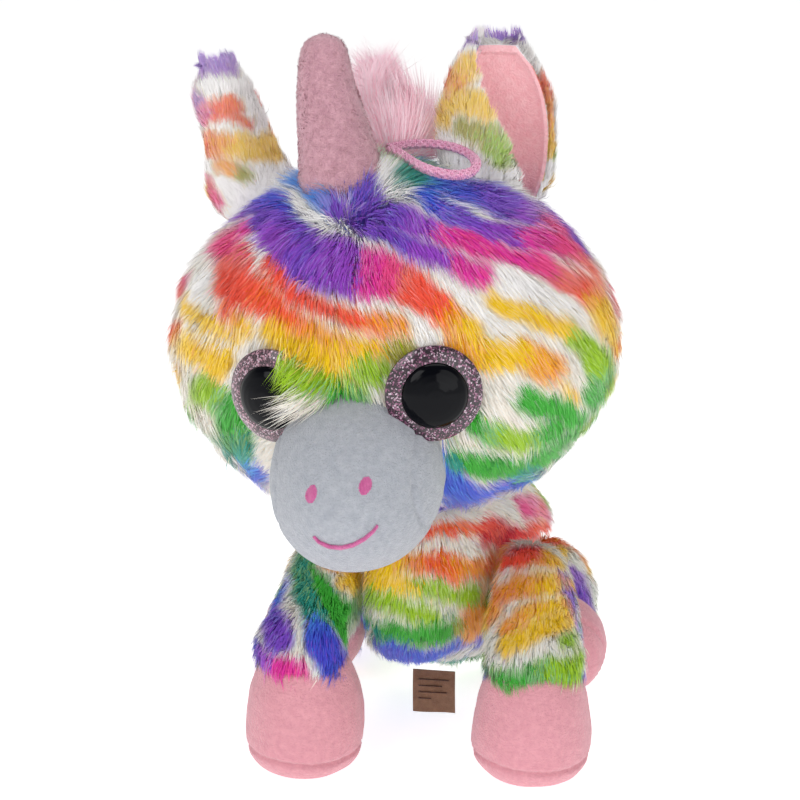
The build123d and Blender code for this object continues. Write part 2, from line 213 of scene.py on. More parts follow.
def noise(points, size, seed=0):
    """Smooth value noise in -1..1 with three channels."""
    table = noise.tables.setdefault(seed, np.random.default_rng(1000 + seed).random((32, 32, 32, 3)) * 2 - 1)
    place = np.asarray(points, float) / size + 500.3
    cell = np.floor(place).astype(int)
    part = place - cell
    part = part * part * (3 - 2 * part)
    total = 0.0
    for dx in (0, 1):
        for dy in (0, 1):
            for dz in (0, 1):
                weight = (np.where(dx, part[:, 0], 1 - part[:, 0]) * np.where(dy, part[:, 1], 1 - part[:, 1])
                          * np.where(dz, part[:, 2], 1 - part[:, 2]))
                value = table[(cell[:, 0] + dx) % 32, (cell[:, 1] + dy) % 32, (cell[:, 2] + dz) % 32]
                total = total + weight[:, None] * value
    return total


noise.tables = {}


def round_cone(points, a, ra, b, rb):
    """How far points are outside two balls and the cone between them."""
    a = np.asarray(a, float)
    axis = np.asarray(b, float) - a
    along = np.clip((points - a) @ axis / (axis @ axis), 0, 1)
    return np.linalg.norm(points - a - along[:, None] * axis, axis=1) - (ra + (rb - ra) * along)


# Balls and cones of the toy, in the row frame
SIGNS = {"left": 1, "right": -1}
SHOULDER = {side: from_body((8 + 33 * sign, -12, 55)) for side, sign in SIGNS.items()}
FOOT = {"left": from_body((47.5, -42, 0)), "right": from_body((-28.5, -49, 0))}
ANKLE = {side: FOOT[side] + np.array([0, 2.5, 37.0]) for side in FOOT}
HIP = {side: from_body((3 + 34 * sign, 58, 26)) for side, sign in SIGNS.items()}
HOCK = {side: from_body((3 + 43 * sign, 34, 18.6)) for side, sign in SIGNS.items()}
RUMP = from_body((4, 54, 42))
HORN_BASE = from_head((-9, -15, 59.5))
HORN_TIP = from_head((-13, -9, 100.5))
EAR_ROOT = {"right": from_head((-44, 10, 50)), "left": from_head((36.5, 20, 50.5))}
MUZZLE_CENTRE = from_head((-3, -52, -30))
MUZZLE_AXIS = unit(HEAD_TURN @ np.array([0, -0.93, -0.37]))
HEAD_ACROSS = unit(HEAD_TURN @ np.array([1.0, 0, 0]))
MUZZLE_AXES = np.array([HEAD_ACROSS, np.cross(MUZZLE_AXIS, HEAD_ACROSS), MUZZLE_AXIS])
MUZZLE_RADIUS = 28.5
MUZZLE_REACH = 37.5
EYE_SEAT = {"right": from_head((-27.5, -56.9, -2.5)), "left": from_head((25.0, -57.6, -3.0))}
EYE_AXIS = {"right": unit(HEAD_TURN @ np.array([-0.28, -0.958, -0.02])),
            "left": unit(HEAD_TURN @ np.array([0.33, -0.94, -0.02]))}
HOOF_TOP = 36.0


# ---------------------------------------------------------------- colours of the dyed fur
INKS = {
    "azure": (110, 172, 238), "blue": (98, 130, 230), "indigo": (108, 108, 228), "purple": (158, 108, 220),
    "violet": (184, 102, 220), "magenta": (240, 82, 192), "pink": (248, 110, 175), "crimson": (228, 50, 90),
    "coral": (253, 122, 98), "red": (246, 92, 74), "orange": (252, 145, 40), "gold": (250, 188, 30),
    "yellow": (252, 222, 40), "lime": (185, 220, 60), "olive": (190, 185, 50), "green": (95, 200, 85),
    "emerald": (70, 182, 80), "teal": (70, 180, 165), "cyan": (110, 200, 225), "lilac": (190, 150, 230),
}
INK_DEPTH = 1.35
WHITES = {"white": (254, 252, 251), "cream": (246, 239, 228), "pale": (234, 237, 230)}


def linear(colour):
    value = np.asarray(colour, float) / 255
    return np.where(value <= 0.04045, value / 12.92, ((value + 0.055) / 1.055) ** 2.4)


# Each stroke of dye: half widths, inks along it, and its line.  The line is given in mm
# to the right of and above the head's middle, as the fabric is seen from the print point.
HEAD_STROKES = [
    ((4.2,), "azure", [(-36, 58), (-30, 56), (-25, 50.5)]),
    ((6, 5, 4, 5), "indigo purple magenta magenta orange",
     [(-16, 58.6), (-8.5, 51), (-5.3, 46.8), (4.1, 43), (15.4, 38), (27.3, 34.9), (38.5, 31.1), (47.9, 29.3),
      (57.3, 23.6), (66.6, 18)]),
    ((4.5,), "purple purple magenta",
     [(-21.6, 48.6), (-10.4, 41.1), (1.8, 34.9), (7.3, 31.8), (19.8, 28), (29.8, 24.3)]),
    ((4,), "blue purple magenta orange",
     [(10.4, 51.8), (19.8, 44.3), (32.3, 39.3), (47.9, 36.8), (60.4, 33.6), (68.5, 28), (72.9, 23)]),
    ((5, 6), "teal indigo purple pink",
     [(5.4, 59.3), (16.6, 55.5), (32.3, 52.4), (41.6, 47.4), (51, 44.9), (60.4, 41.8)]),
    ((3.5,), "teal cyan indigo purple", [(31, 63), (41.6, 59.9), (51, 56.8), (60.4, 51.1), (69.8, 40.5)]),
    ((3,), "green lime green", [(-5, 66.5), (26, 63.6), (34, 63)]),
    ((3.5, 6, 10, 10, 8, 5, 5), "teal indigo violet purple violet magenta coral orange yellow",
     [(-47.3, 62.4), (-48.5, 53), (-44.8, 43.6), (-38.5, 35.5), (-29.1, 29.3), (-19.8, 26.8), (-10.4, 24.3),
      (1.8, 21.8), (4.1, 19.9), (12.3, 14.9), (19.8, 9.3), (26, 4.3)]),
    ((3.5,), "indigo", [(-41.6, 51.1), (-37.3, 43.6), (-32, 39)]),
    ((3.5,), "violet magenta", [(-55.4, 46.8), (-53, 40)]),
    ((3.5,), "magenta pink", [(-73, 33), (-68, 38), (-63, 43)]),
    ((5.5, 7, 5, 5, 6), "pink coral orange orange gold yellow olive",
     [(-60.4, 36.8), (-56, 29.3), (-55.4, 20.5), (-47.3, 16.8), (-41.6, 11.8), (-32.3, 6.1), (-22.9, 1.1),
      (-10.4, -2), (1.8, -3.3)]),
    ((6,), "yellow yellow lime", [(-41.6, 4), (-30, -4), (-20, -8), (-7, -10)]),
    ((5,), "lime green", [(-38, -11), (-26, -16), (-14, -19), (-20, -22)]),
    ((3.5,), "red coral orange gold", [(-42.9, 25.5), (-35.4, 18.6), (-26, 13.6), (-13.5, 8.6), (1.8, 6.1)]),
    ((2.5,), "yellow", [(-76, 17.4), (-71.6, 11.8), (-63.5, 6.1), (-56, -.1)]),
    ((5,), "yellow", [(-78.5, 3), (-71, -2), (-61.6, -7.6)]),
    ((3.5,), "orange yellow", [(-57.3, 10.5), (-52, 5.5)]),
    ((5,), "lime green", [(-66.6, -15.8), (-57, -22)]),
    ((6,), "green teal", [(-57, -27), (-54, -43)]),
    ((6,), "blue indigo", [(-52, -44), (-47, -60)]),
    ((2.5, 4, 6), "yellow yellow lime green",
     [(32.9, 15.5), (41.6, 11.8), (51, 8.6), (60.4, 4.3), (68.5, -3.3), (72.9, -12.6), (74.8, -20.8)]),
    ((4,), "yellow", [(69.8, 15.5), (72.9, 8), (77.3, 1.1), (81, -5)]),
    ((5.5,), "gold yellow gold", [(21.6, -1.4), (29.8, -5.1), (41.6, -3.3), (49.8, -5.1), (54.1, -8.9)]),
    ((5,), "green", [(46, -19.5), (54.1, -22), (61, -25.8)]),
    ((2,), "yellow", [(59, -16), (63, -19)]),
    ((6,), "green", [(71.6, -15.8), (72.9, -25)]),
    ((4,), "green lime green", [(27.8, -28.6), (41.9, -33.3), (55.9, -30.5)]),
    ((4,), "emerald", [(21.3, -40.8), (32.5, -41.8), (46.6, -43.6), (65, -32)]),
    ((6,), "blue indigo", [(16.6, -43.6), (23, -52), (32.5, -54.9), (49.4, -47.4)]),
    ((4,), "purple magenta", [(15.6, -58.6), (32.5, -62.4)]),
]
BODY_STROKES = [
    ((3.5,), "gold yellow orange gold",
     [(-21.9, -75.5), (-8.8, -79.3), (4.4, -75.5), (23.1, -79.3), (32.5, -77.4)]),
    ((1.6,), "orange", [(8.1, -66.1), (20, -64.5), (33.4, -65.2)]),
    ((3,), "yellow lime", [(-16.3, -83), (-5, -83), (9.1, -85.8), (25.9, -88.6)]),
    ((2.5,), "lime", [(-11.6, -86.8), (-.3, -91.4), (11.9, -95.2)]),
    ((3.5,), "emerald green", [(-20.9, -90.5), (-8.8, -99.9), (4.4, -101.8), (21.3, -98.9)]),
    ((3.5,), "indigo blue", [(-8.8, -103.6), (-.3, -107.4), (10, -110.2), (22.2, -107.4)]),
    ((4.5,), "green emerald", [(-35, -71.8), (-30.3, -83), (-21.9, -92.4), (-14.4, -103.6), (-11.6, -109.3)]),
    ((3.4,), "blue", [(-39.7, -68.9), (-42.5, -84.9), (-44.4, -94.3)]),
    ((3.5, 5), "teal teal indigo indigo",
     [(-34, -75.5), (-31.3, -86.8), (-28.4, -96.1), (-27.5, -98.9), (-23.8, -109.3), (-20, -116.8)]),
    ((3.5,), "purple", [(-42.5, -96.1), (-39.7, -103.6)]),
    ((5,), "violet magenta", [(-49, -109.3), (-42.5, -113.9), (-36.9, -115.8)]),
    ((2,), "coral", [(-50, -120.5), (-46, -120.5)]),
    ((4.5,), "crimson", [(34.4, -66.1), (41.9, -68.9), (47.5, -71.8)]),
    ((4,), "red", [(49.4, -66.1), (56.9, -66.1)]),
    ((3,), "pink magenta", [(46, -57), (56, -58)]),
    ((2.8,), "red orange yellow", [(33.4, -77.4), (43.8, -76.4), (56.9, -74.6)]),
    ((3,), "orange yellow", [(33.4, -88.6), (44.7, -84.9), (57.8, -83.9)]),
    ((3,), "gold yellow", [(40, -99.9), (48.4, -93.3), (58.8, -92.4)]),
    ((3,), "yellow", [(40, -105.5), (49.4, -99.9), (59.7, -97)]),
    ((4,), "gold", [(25, -98.9), (32.5, -93.3), (33.4, -86.8)]),
    ((1.8,), "lime", [(59, -103.6), (61, -103.6)]),
    ((4.5,), "lime green", [(24, -115.8), (32.5, -117.7), (40, -118.6)]),
    ((5,), "green lime", [(41.9, -118.6), (51.3, -116.8), (65.3, -113)]),
    ((4,), "lilac purple lilac", [(60.6, -83), (65.3, -96)]),
]
EAR_STROKES = [
    # the toy's right ear, on the left as seen from the print point
    ((3.2,), "lilac", [(-71, 101), (-56, 100)]),
    ((2.2,), "violet", [(-68, 96), (-57, 95.6)]),
    ((3.4,), "pink lilac", [(-73, 99), (-72, 88), (-68, 80)]),
    ((4.2,), "coral orange", [(-66, 81), (-57, 82.5)]),
    ((2.5,), "orange", [(-56, 80), (-52, 77)]),
    ((4.6,), "orange yellow yellow", [(-66, 70), (-58, 69.5), (-42, 68.5)]),
    ((3.6,), "gold olive", [(-60, 62), (-52, 60)]),
    ((3.0,), "crimson pink", [(-66, 56), (-62, 50)]),
    # the toy's left ear
    ((4.5,), "gold yellow", [(20, 91), (24, 96), (29, 98)]),
    ((4.2,), "yellow", [(18, 84), (26, 86), (34, 82)]),
    ((5,), "olive lime", [(26, 76), (32, 73), (38, 67)]),
    ((3.5,), "orange yellow", [(13, 84), (18, 79)]),
    ((2.5,), "lilac", [(24, 107), (31, 109)]),
    ((3,), "orange yellow", [(53, 92), (55, 78), (56, 68)]),
]
PRINT_SPREAD = 770.0
PRINT_OFFSET = np.array([1.75, -19.25])


def printed_place(points):
    ray = points - EYE_POINT
    depth = ray @ LOOK
    return np.stack([ray @ RIGHT, ray @ UP], axis=1) * PRINT_SPREAD / depth[:, None] + PRINT_OFFSET


def inks(names):
    return np.array([linear(INKS[name]) ** INK_DEPTH for name in names.split()])


def along_line(place, line, count):
    """Distance from a line, and how far along it, 0 to 1."""
    line = np.array(line, float)
    steps = np.linalg.norm(np.diff(line, axis=0), axis=1)
    start = np.concatenate([[0], np.cumsum(steps)]) / steps.sum()
    best = np.full(count, 1e9)
    where = np.zeros(count)
    for k in range(len(steps)):
        edge = line[k + 1] - line[k]
        t = np.clip((place - line[k]) @ edge / (edge @ edge), 0, 1)
        gap = np.linalg.norm(place - line[k] - t[:, None] * edge, axis=1)
        nearer = gap < best
        best = np.where(nearer, gap, best)
        where = np.where(nearer, start[k] + t * (start[k + 1] - start[k]), where)
    return best, where


def stops(values, where):
    """Values spaced evenly from 0 to 1, read at the given places."""
    values = np.atleast_1d(np.asarray(values, float))
    if len(values) == 1:
        return np.broadcast_to(values[0], where.shape + values.shape[1:])
    knots = np.linspace(0, 1, len(values))
    if values.ndim == 1:
        return np.interp(where, knots, values)
    return np.stack([np.interp(where, knots, values[:, k]) for k in range(values.shape[1])], axis=1)


HEAD_BLEED = 1.9
BODY_BLEED = 2.7
STROKE_EDGE = 3.8
STRIPE_PITCH = 15.5
STRIPE_SLANT = 0.35
SEEN_FROM = 0.24
# How far the ears' pile is washed toward a pinkish white: painted light, for the bright light the ears catch.
EAR_PAINTED_LIGHT = 0.22


def stroke_colour(points, strokes):
    """Colour and strength of the dye strokes at points."""
    count = len(points)
    place = printed_place(points)
    place = place + noise(points, 7.0, 1)[:, :2] * 1.6 + noise(points, 2.5, 2)[:, :2] * 0.9
    total = np.zeros((count, 3))
    weight = np.full(count, 1e-6)
    strongest = np.zeros(count)
    bleed = BODY_BLEED if strokes is BODY_STROKES else HEAD_BLEED
    for widths, names, line in strokes:
        gap, where = along_line(place, line, count)
        strength = np.clip((stops(widths, where) + bleed - gap) / STROKE_EDGE, 0, 1)
        strength = strength * strength * (3 - 2 * strength)
        total += (strength ** 2)[:, None] * stops(inks(names), where)
        weight += strength ** 2
        strongest = np.maximum(strongest, strength)
    return total / weight[:, None], strongest


HEIGHT_INKS = {
    # inks from the lowest to the highest place
    "head": "purple indigo blue teal green lime yellow gold orange coral magenta purple indigo azure teal",
    "body": "lime green teal blue indigo green lime yellow gold orange crimson magenta",
    "leg": "lilac purple indigo lime yellow gold orange crimson pink",
    "ear": "yellow lime yellow gold orange coral lilac purple",
}


def hidden_colour(points, kind, low, high):
    """Stripes for the sides and the back, which follow the same order of colours by height."""
    warp = noise(points, 26.0, 3) * 9 + noise(points, 9.0, 4) * 3
    height = points[:, 2] + warp[:, 0]
    band = (height + STRIPE_SLANT * np.abs(points[:, 0] - NECK[0]) + 0.25 * points[:, 1]) / STRIPE_PITCH
    wave = np.sin(2 * math.pi * band) + 0.45 * noise(points, 13.0, 5)[:, 1]
    strength = np.clip((wave + 0.3) * 1.7, 0, 1)
    where = np.clip((height + 6 * noise(points, 34.0, 6)[:, 2] - low) / (high - low), 0, 1)
    return stops(inks(HEIGHT_INKS[kind]), where), strength


def fur_colour(points, normals, dye):
    """Dyed colour of the pile at places in the row frame."""
    kind, strokes, low, high = dye
    front, front_strength = stroke_colour(points, strokes)
    back, back_strength = hidden_colour(points, kind, low, high)
    facing = np.clip((unit(EYE_POINT - points) * normals).sum(1) / SEEN_FROM - 0.25, 0, 1)[:, None]
    height = np.clip((points[:, 2] - 20) / 160, 0, 1)
    ground = stops(np.array([linear(WHITES[name]) for name in ("pale", "cream", "cream", "white")]), height)
    shade = 1 + 0.06 * noise(points, 5.0, 7)[:, :1]
    front = ground + (front - ground) * front_strength[:, None]
    back = ground + (back - ground) * back_strength[:, None]
    colour = (back + (front - back) * facing) * shade
    # Painted light: the ears' colours are paled toward a pinkish white.
    if kind == "ear":
        colour = colour + (linear((255, 244, 246)) - colour) * EAR_PAINTED_LIGHT
    return np.clip(colour, 0, 1)


# ---------------------------------------------------------------- building materials
def fill(tree, node, sockets):
    """Sets a node's sockets, or links them where the value is another node's output."""
    for socket, value in sockets.items():
        if isinstance(value, bpy.types.NodeSocket):
            tree.links.new(value, node.inputs[socket])
        else:
            node.inputs[socket].default_value = value
    return node


def add_node(tree, kind, sockets):
    return fill(tree, tree.nodes.new("ShaderNode" + kind), sockets)


def add_ramp(tree, factor, stops_wanted):
    """Colour ramp from (place, linear colour) stops."""
    ramp = add_node(tree, "ValToRGB", {"Fac": factor})
    elements = ramp.color_ramp.elements
    for k, (place, colour) in enumerate(stops_wanted):
        element = elements[k] if k < 2 else elements.new(place)
        element.position = place
        element.color = (*colour, 1)
    return ramp.outputs["Color"]


def new_material(name):
    material = bpy.data.materials.new(name)
    material.use_nodes = True
    return material, material.node_tree, material.node_tree.nodes["Principled BSDF"]


# ---------------------------------------------------------------- fur
PILE_DEPTHS = (1.0, 0.78, 0.54, 0.28)
# Painted glow: every pile material emits its own colour, standing in for light scattered through the pile.
# The mane and tail tufts glow more.
TUFT_PAINTED_GLOW = 0.1
PILE_PAINTED_GLOW = 0.06


def pile_materials():
    """Plain pile colours: each ink at four depths, the undyed whites, the tuft's pinks and the nap, each with
    a painted glow.
    """
    undyed = linear(WHITES["cream"])
    shades = [("pile_%s_%d" % (name, round(depth * 100)), undyed + (inks(name)[0] - undyed) * depth)
              for name in INKS for depth in PILE_DEPTHS]
    shades += [("pile_" + name, linear(ink)) for name, ink in WHITES.items()]
    plain = [("pile_tuft", (255, 214, 226)), ("pile_tuft_pale", (255, 230, 238)),
             ("pile_tuft_deep", (255, 194, 212)), ("nap_rose", (206, 158, 169))]
    made = []
    for name, colour in shades + [(name, linear(colour)) for name, colour in plain]:
        material, tree, shader = new_material(name)
        # The emission is painted light: a glow in the pile's own colour.
        fill(tree, shader, {"Base Color": (*colour, 1), "Roughness": 0.62, "Specular IOR Level": 0.25,
                            "Sheen Weight": 0.25, "Sheen Roughness": 0.5, "Emission Color": (*colour, 1),
                            "Emission Strength": TUFT_PAINTED_GLOW if "tuft" in name else PILE_PAINTED_GLOW})
        made.append(material)
    return made, np.array([shade[1] for shade in shades])


PILE, PILE_COLOURS = pile_materials()
PILE_NAMES = [material.name for material in PILE]


def pile_index(colours):
    """The nearest plain pile colour for each strand, with a little mixing between neighbours."""
    mixed = np.sqrt(np.clip(colours, 0, 1)) + RANDOM.normal(0, 0.028, colours.shape)
    shades = np.sqrt(PILE_COLOURS)
    best = np.zeros(len(colours), int)
    for first in range(0, len(colours), 40000):
        part = mixed[first:first + 40000]
        best[first:first + 40000] = ((part[:, None] - shades[None]) ** 2).sum(2).argmin(1)
    return best


def sample(points, faces, count, seed):
    """Places and normals spread evenly over a mesh of triangles."""
    random = np.random.default_rng(seed)
    a, b, c = points[faces[:, 0]], points[faces[:, 1]], points[faces[:, 2]]
    cross = np.cross(b - a, c - a)
    area = np.linalg.norm(cross, axis=1)
    vertex_normals = np.zeros_like(points)
    for k in range(3):
        np.add.at(vertex_normals, faces[:, k], cross)
    middle = points.mean(0)
    outward = np.sign(((a - middle) * cross).sum())
    vertex_normals = unit(vertex_normals) * outward
    pick = random.choice(len(faces), count, p=area / area.sum())
    s = np.sqrt(random.random(count))
    t = random.random(count)
    weights = np.stack([1 - s, s * (1 - t), s * t], axis=1)
    corners = faces[pick]
    places = sum(weights[:, k:k + 1] * points[corners[:, k]] for k in range(3))
    normals = unit(sum(weights[:, k:k + 1] * vertex_normals[corners[:, k]] for k in range(3)))
    return places, normals


WAY_SPREAD = 0.11
LENGTH_SPREAD = 0.14
SHADING_SPREAD = 0.06
FLAT_TURN = 0.6
TIP_FLOOR = 0.4
MIDDLE_FLOOR = 0.6


def strand_shapes(roots, normals, flow, length, lift, droop, clump, gather, ruffle):
    """Middles and tips of bent strands that gather in locks, and the way each one grows."""
    count = len(roots)
    sway = noise(roots, 8.0, 11) * ruffle + noise(roots, 22.0, 12) * ruffle * 0.8
    flow = unit(flow - (flow * normals).sum(1)[:, None] * normals)
    lift = np.reshape(lift, (-1, 1))
    growth = unit(normals * lift + flow * (1 - lift) * 1.3 + sway + RANDOM.normal(0, WAY_SPREAD, (count, 3)))
    length = length * (1 + RANDOM.normal(0, LENGTH_SPREAD, count)) * (1 + 0.15 * noise(roots, 6.0, 13)[:, 0])
    tips = roots + growth * length[:, None]
    cell = np.floor(roots / clump + noise(roots, 9.0, 14) * 0.35)
    key = (cell * np.array([73.1, 157.7, 311.3])).sum(1)
    shift = np.stack([np.sin(key * (k + 1.3)) for k in range(3)], axis=1) * 0.5
    inward = (cell + 0.5 + shift * 0.6) * clump - roots
    tips = tips + (inward - (inward * normals).sum(1)[:, None] * normals) * gather
    middles = (roots + tips) / 2 + normals * (0.12 * length)[:, None]
    tips = tips + flow * (droop * length)[:, None] - normals * (0.25 * droop * length)[:, None]
    return middles, tips, growth


def ribbon_points(roots, middles, tips, normals, width):
    """Five points of each strand's ribbon, which is turned a random way about the strand."""
    count = len(roots)
    flat = unit(np.cross(tips - roots, normals) + 0.001)
    turned = np.cross(unit(tips - roots), flat) * RANDOM.uniform(-1, 1, (count, 1))
    side = unit(flat * math.cos(FLAT_TURN) + turned)
    half = side * (width * (0.8 + 0.4 * RANDOM.random(count)))[:, None] / 2
    tips[:, 2] = np.maximum(tips[:, 2], TIP_FLOOR)
    middles[:, 2] = np.maximum(middles[:, 2], MIDDLE_FLOOR)
    return np.stack([roots - half, roots + half, middles + half * 0.85, middles - half * 0.85, tips], axis=1)


def ribbon_mesh(name, points, chosen, normals):
    """Mesh of tapered ribbons: a quad and a tip each, with a pile colour and a shading normal."""
    count = len(points)
    data = bpy.data.meshes.new(name)
    data.vertices.add(count * 5)
    data.vertices.foreach_set("co", (points * MM).astype(np.float32).ravel())
    corners = (np.arange(count)[:, None] * 5 + np.array([0, 1, 2, 3, 3, 2, 4])).ravel()
    starts = (np.arange(count)[:, None] * 7 + np.array([0, 4])).ravel()
    data.loops.add(count * 7)
    data.loops.foreach_set("vertex_index", corners.astype(np.int32))
    data.polygons.add(count * 2)
    data.polygons.foreach_set("loop_start", starts.astype(np.int32))
    used, index = np.unique(chosen, return_inverse=True)
    for k in used:
        data.materials.append(PILE[int(k)])
    data.polygons.foreach_set("material_index", index.astype(np.int32))
    data.update(calc_edges=True)
    data.polygons.foreach_set("use_smooth", np.ones(count * 2, bool))
    data.normals_split_custom_set_from_vertices(np.repeat(normals, 5, axis=0).astype(np.float32))
    return data


def grow(name, body, slot, roots, normals, inks_of, length, width, flow, lift=0.75, droop=0.25,
         clump=5.0, gather=0.32, ruffle=0.3):
    """A piece of pile: each strand is a bent ribbon that tapers to a point."""
    middles, tips, growth = strand_shapes(roots, normals, flow, length, lift, droop, clump, gather, ruffle)
    points = ribbon_points(roots, middles, tips, normals, width)
    chosen = np.stack(inks_of(roots * 0.4 + points[:, 4] * 0.6), axis=1).ravel()
    spread = RANDOM.normal(0, SHADING_SPREAD, (len(roots), 3))
    soft = unit(normals + growth * 0.35 + noise(roots, 4.0, 15) * 0.22 + spread)
    return add_object(name, ribbon_mesh(name, points, chosen, soft), body, slot)


def dyed_pile(name, body, roots, normals, dye, length, width, flow, **more):
    def inks_of(places):
        colours = fur_colour(places, normals, dye)
        return pile_index(colours), pile_index(colours + (1 - colours) * 0.05)

    return grow(name, body, "rainbow_fur", roots, normals, inks_of, length, width, flow, **more)


# ---------------------------------------------------------------- node materials
def fabric(name, colour, deep, grain=900.0, nap=160.0, bump=0.35, sheen=0.45, rough=0.8, mottle=0.5):
    """Short pile or woven cloth: mottled nap, fine grain and a soft sheen."""
    material, tree, shader = new_material(name)
    place = add_node(tree, "TexCoord", {}).outputs["Object"]
    broad = add_node(tree, "TexNoise", {"Scale": nap, "Detail": 5, "Roughness": 0.65, "Vector": place})
    tones = [(0.5 - mottle / 3, linear(deep)), (0.5 + mottle / 3, linear(colour))]
    tint = add_ramp(tree, broad.outputs["Fac"], tones)
    fine = add_node(tree, "TexNoise", {"Scale": grain, "Detail": 3, "Vector": place})
    height = add_node(tree, "Math", {1: 0.6})
    height.operation = "MULTIPLY_ADD"
    fill(tree, height, {0: broad.outputs["Fac"], 2: fine.outputs["Fac"]})
    relief = add_node(tree, "Bump", {"Strength": bump, "Distance": 0.0012, "Height": height.outputs["Value"]})
    fill(tree, shader, {"Base Color": tint, "Normal": relief.outputs["Normal"], "Roughness": rough,
                        "Specular IOR Level": 0.2, "Sheen Weight": sheen, "Sheen Roughness": 0.4})
    return material


def thread_material(name, colour, deep, scale=700.0):
    """Satin stitches or twisted yarn: fine parallel ridges."""
    material = fabric(name, colour, deep, grain=2500, nap=300, bump=0.25, sheen=0.3, rough=0.45)
    tree = material.node_tree
    wave = add_node(tree, "TexWave", {"Scale": scale, "Distortion": 1.2,
                                      "Vector": tree.nodes["Texture Coordinate"].outputs["Object"]})
    wave.bands_direction = "X"
    ridges = add_node(tree, "Bump", {"Strength": 0.7, "Distance": 0.0005, "Height": wave.outputs["Fac"],
                                     "Normal": tree.nodes["Bump"].outputs["Normal"]})
    fill(tree, tree.nodes["Principled BSDF"], {"Normal": ridges.outputs["Normal"]})
    return material


def printed_material(name):
    """The dyed backing of the fur, whose colour is kept on the mesh."""
    material = fabric(name, (240, 230, 220), (225, 215, 205), grain=1500, nap=300, bump=0.9)
    tree = material.node_tree
    dye = add_node(tree, "Attribute", {})
    dye.attribute_name = "dye"
    fleck = tree.nodes.new("ShaderNodeMix")
    fleck.data_type = "RGBA"
    fleck.blend_type = "MULTIPLY"
    tones = [(0, (0.55, 0.55, 0.55)), (1, (1, 1, 1))]
    grain = add_ramp(tree, tree.nodes["Noise Texture.001"].outputs["Fac"], tones)
    fill(tree, fleck, {0: 0.25, 6: dye.outputs["Color"], 7: grain})
    fill(tree, tree.nodes["Principled BSDF"], {"Base Color": fleck.outputs[2]})
    return material


def glitter_material(name, colour, deep, flake):
    """Glitter under clear gloss: flakes that each face their own way."""
    material, tree, shader = new_material(name)
    place = add_node(tree, "TexCoord", {}).outputs["Object"]
    cells = add_node(tree, "TexVoronoi", {"Scale": 2100.0, "Vector": place})
    parts = add_node(tree, "SeparateColor", {"Color": cells.outputs["Color"]})
    tones = [(0.15, linear(deep)), (0.62, linear(colour)), (0.86, linear(flake)), (0.985, (0.62, 0.5, 0.58))]
    tint = add_ramp(tree, parts.outputs["Red"], tones)
    relief = add_node(tree, "Bump", {"Strength": 0.8, "Distance": 0.0004, "Height": parts.outputs["Green"]})
    fill(tree, shader, {"Base Color": tint, "Normal": relief.outputs["Normal"], "Metallic": 0.2,
                        "Roughness": 0.4, "Coat Weight": 0.7, "Coat Roughness": 0.08})
    return material


def gloss_material(name, colour, rough=0.06, coat=1.0):
    """Smooth moulded plastic with a faint haze."""
    material, tree, shader = new_material(name)
    place = add_node(tree, "TexCoord", {}).outputs["Object"]
    haze = add_node(tree, "TexNoise", {"Scale": 220.0, "Vector": place})
    span = add_node(tree, "MapRange", {"To Min": rough, "To Max": rough + 0.08, "Value": haze.outputs["Fac"]})
    fill(tree, shader, {"Base Color": (*linear(colour), 1), "Coat Weight": coat, "Coat Roughness": 0.03,
                        "Specular IOR Level": 0.12, "Roughness": span.outputs["Result"]})
    return material


VELOUR_PINK = fabric("velour_pink", (230, 164, 174), (212, 144, 156), 1400, 520, bump=0.6, mottle=0.7)
VELOUR_ROSE = fabric("velour_rose", (214, 166, 177), (184, 136, 150), 1400, 420, bump=0.6, mottle=0.7)
VELOUR_LINING = fabric("velour_lining", (255, 205, 209), (248, 184, 191), 1400, 420, bump=0.5)
VELOUR_GREY = fabric("velour_grey", (186, 189, 196), (158, 162, 172), 1500, 420, bump=0.7, mottle=0.8)
THREAD_PINK = thread_material("thread_pink", (236, 128, 184), (214, 92, 158))
CORD_PINK = thread_material("cord_pink", (255, 196, 224), (248, 168, 206), scale=500)
DYED_BACKING = printed_material("dyed_backing")
TUFT_BACKING = fabric("tuft_backing", (255, 220, 230), (250, 200, 214))


# ---------------------------------------------------------------- the hanging cord
CORD_ROUTE = [
    (3.0, 3.0, 66.0), (6.5, 8.0, 66.0), (14.0, 10.0, 66.0), (23.0, 8.5, 65.0), (31.0, 4.0, 62.5),
    (34.5, -3.0, 60.0), (33.5, -10.5, 58.2), (28.0, -16.0, 58.8), (21.0, -16.5, 60.9),
    (14.5, -12.0, 63.0), (9.0, -4.5, 65.2), (4.5, -1.5, 66.2),
]
CORD_RADIUS = 1.5
BRAID_YARNS = 8
BRAID_PITCH = 11.0
YARN_RADIUS = 0.56
STITCH_RADIUS = 0.3


def cord_line():
    """Points read from the route's spline, in mm."""
    curve = bpy.data.curves.new("cord_route", "CURVE")
    curve.dimensions = "3D"
    curve.resolution_u = 24
    spline = curve.splines.new("NURBS")
    points = from_head(CORD_ROUTE) * MM
    spline.points.add(len(points) - 1)
    for point, place in zip(spline.points, points):
        point.co = (*place, 1)
    spline.order_u = 3
    spline.use_endpoint_u = True
    holder = bpy.data.objects.new("cord_route", curve)
    bpy.context.scene.collection.objects.link(holder)
    mesh = bpy.data.meshes.new_from_object(holder.evaluated_get(bpy.context.evaluated_depsgraph_get()))
    line = np.array([tuple(v.co) for v in mesh.vertices]) / MM
    bpy.data.objects.remove(holder)
    bpy.data.curves.remove(curve)
    bpy.data.meshes.remove(mesh)
    return line


def frames(line):
    """Directions along and across a line, carried without twisting."""
    ahead = unit(np.gradient(line, axis=0))
    across = np.zeros_like(line)
    across[0] = unit(np.cross(ahead[0], (0.1, 0.2, 1.0)))
    for k in range(1, len(line)):
        across[k] = unit(across[k - 1] - ahead[k] * (across[k - 1] @ ahead[k]))
    return ahead, across, np.cross(ahead, across)


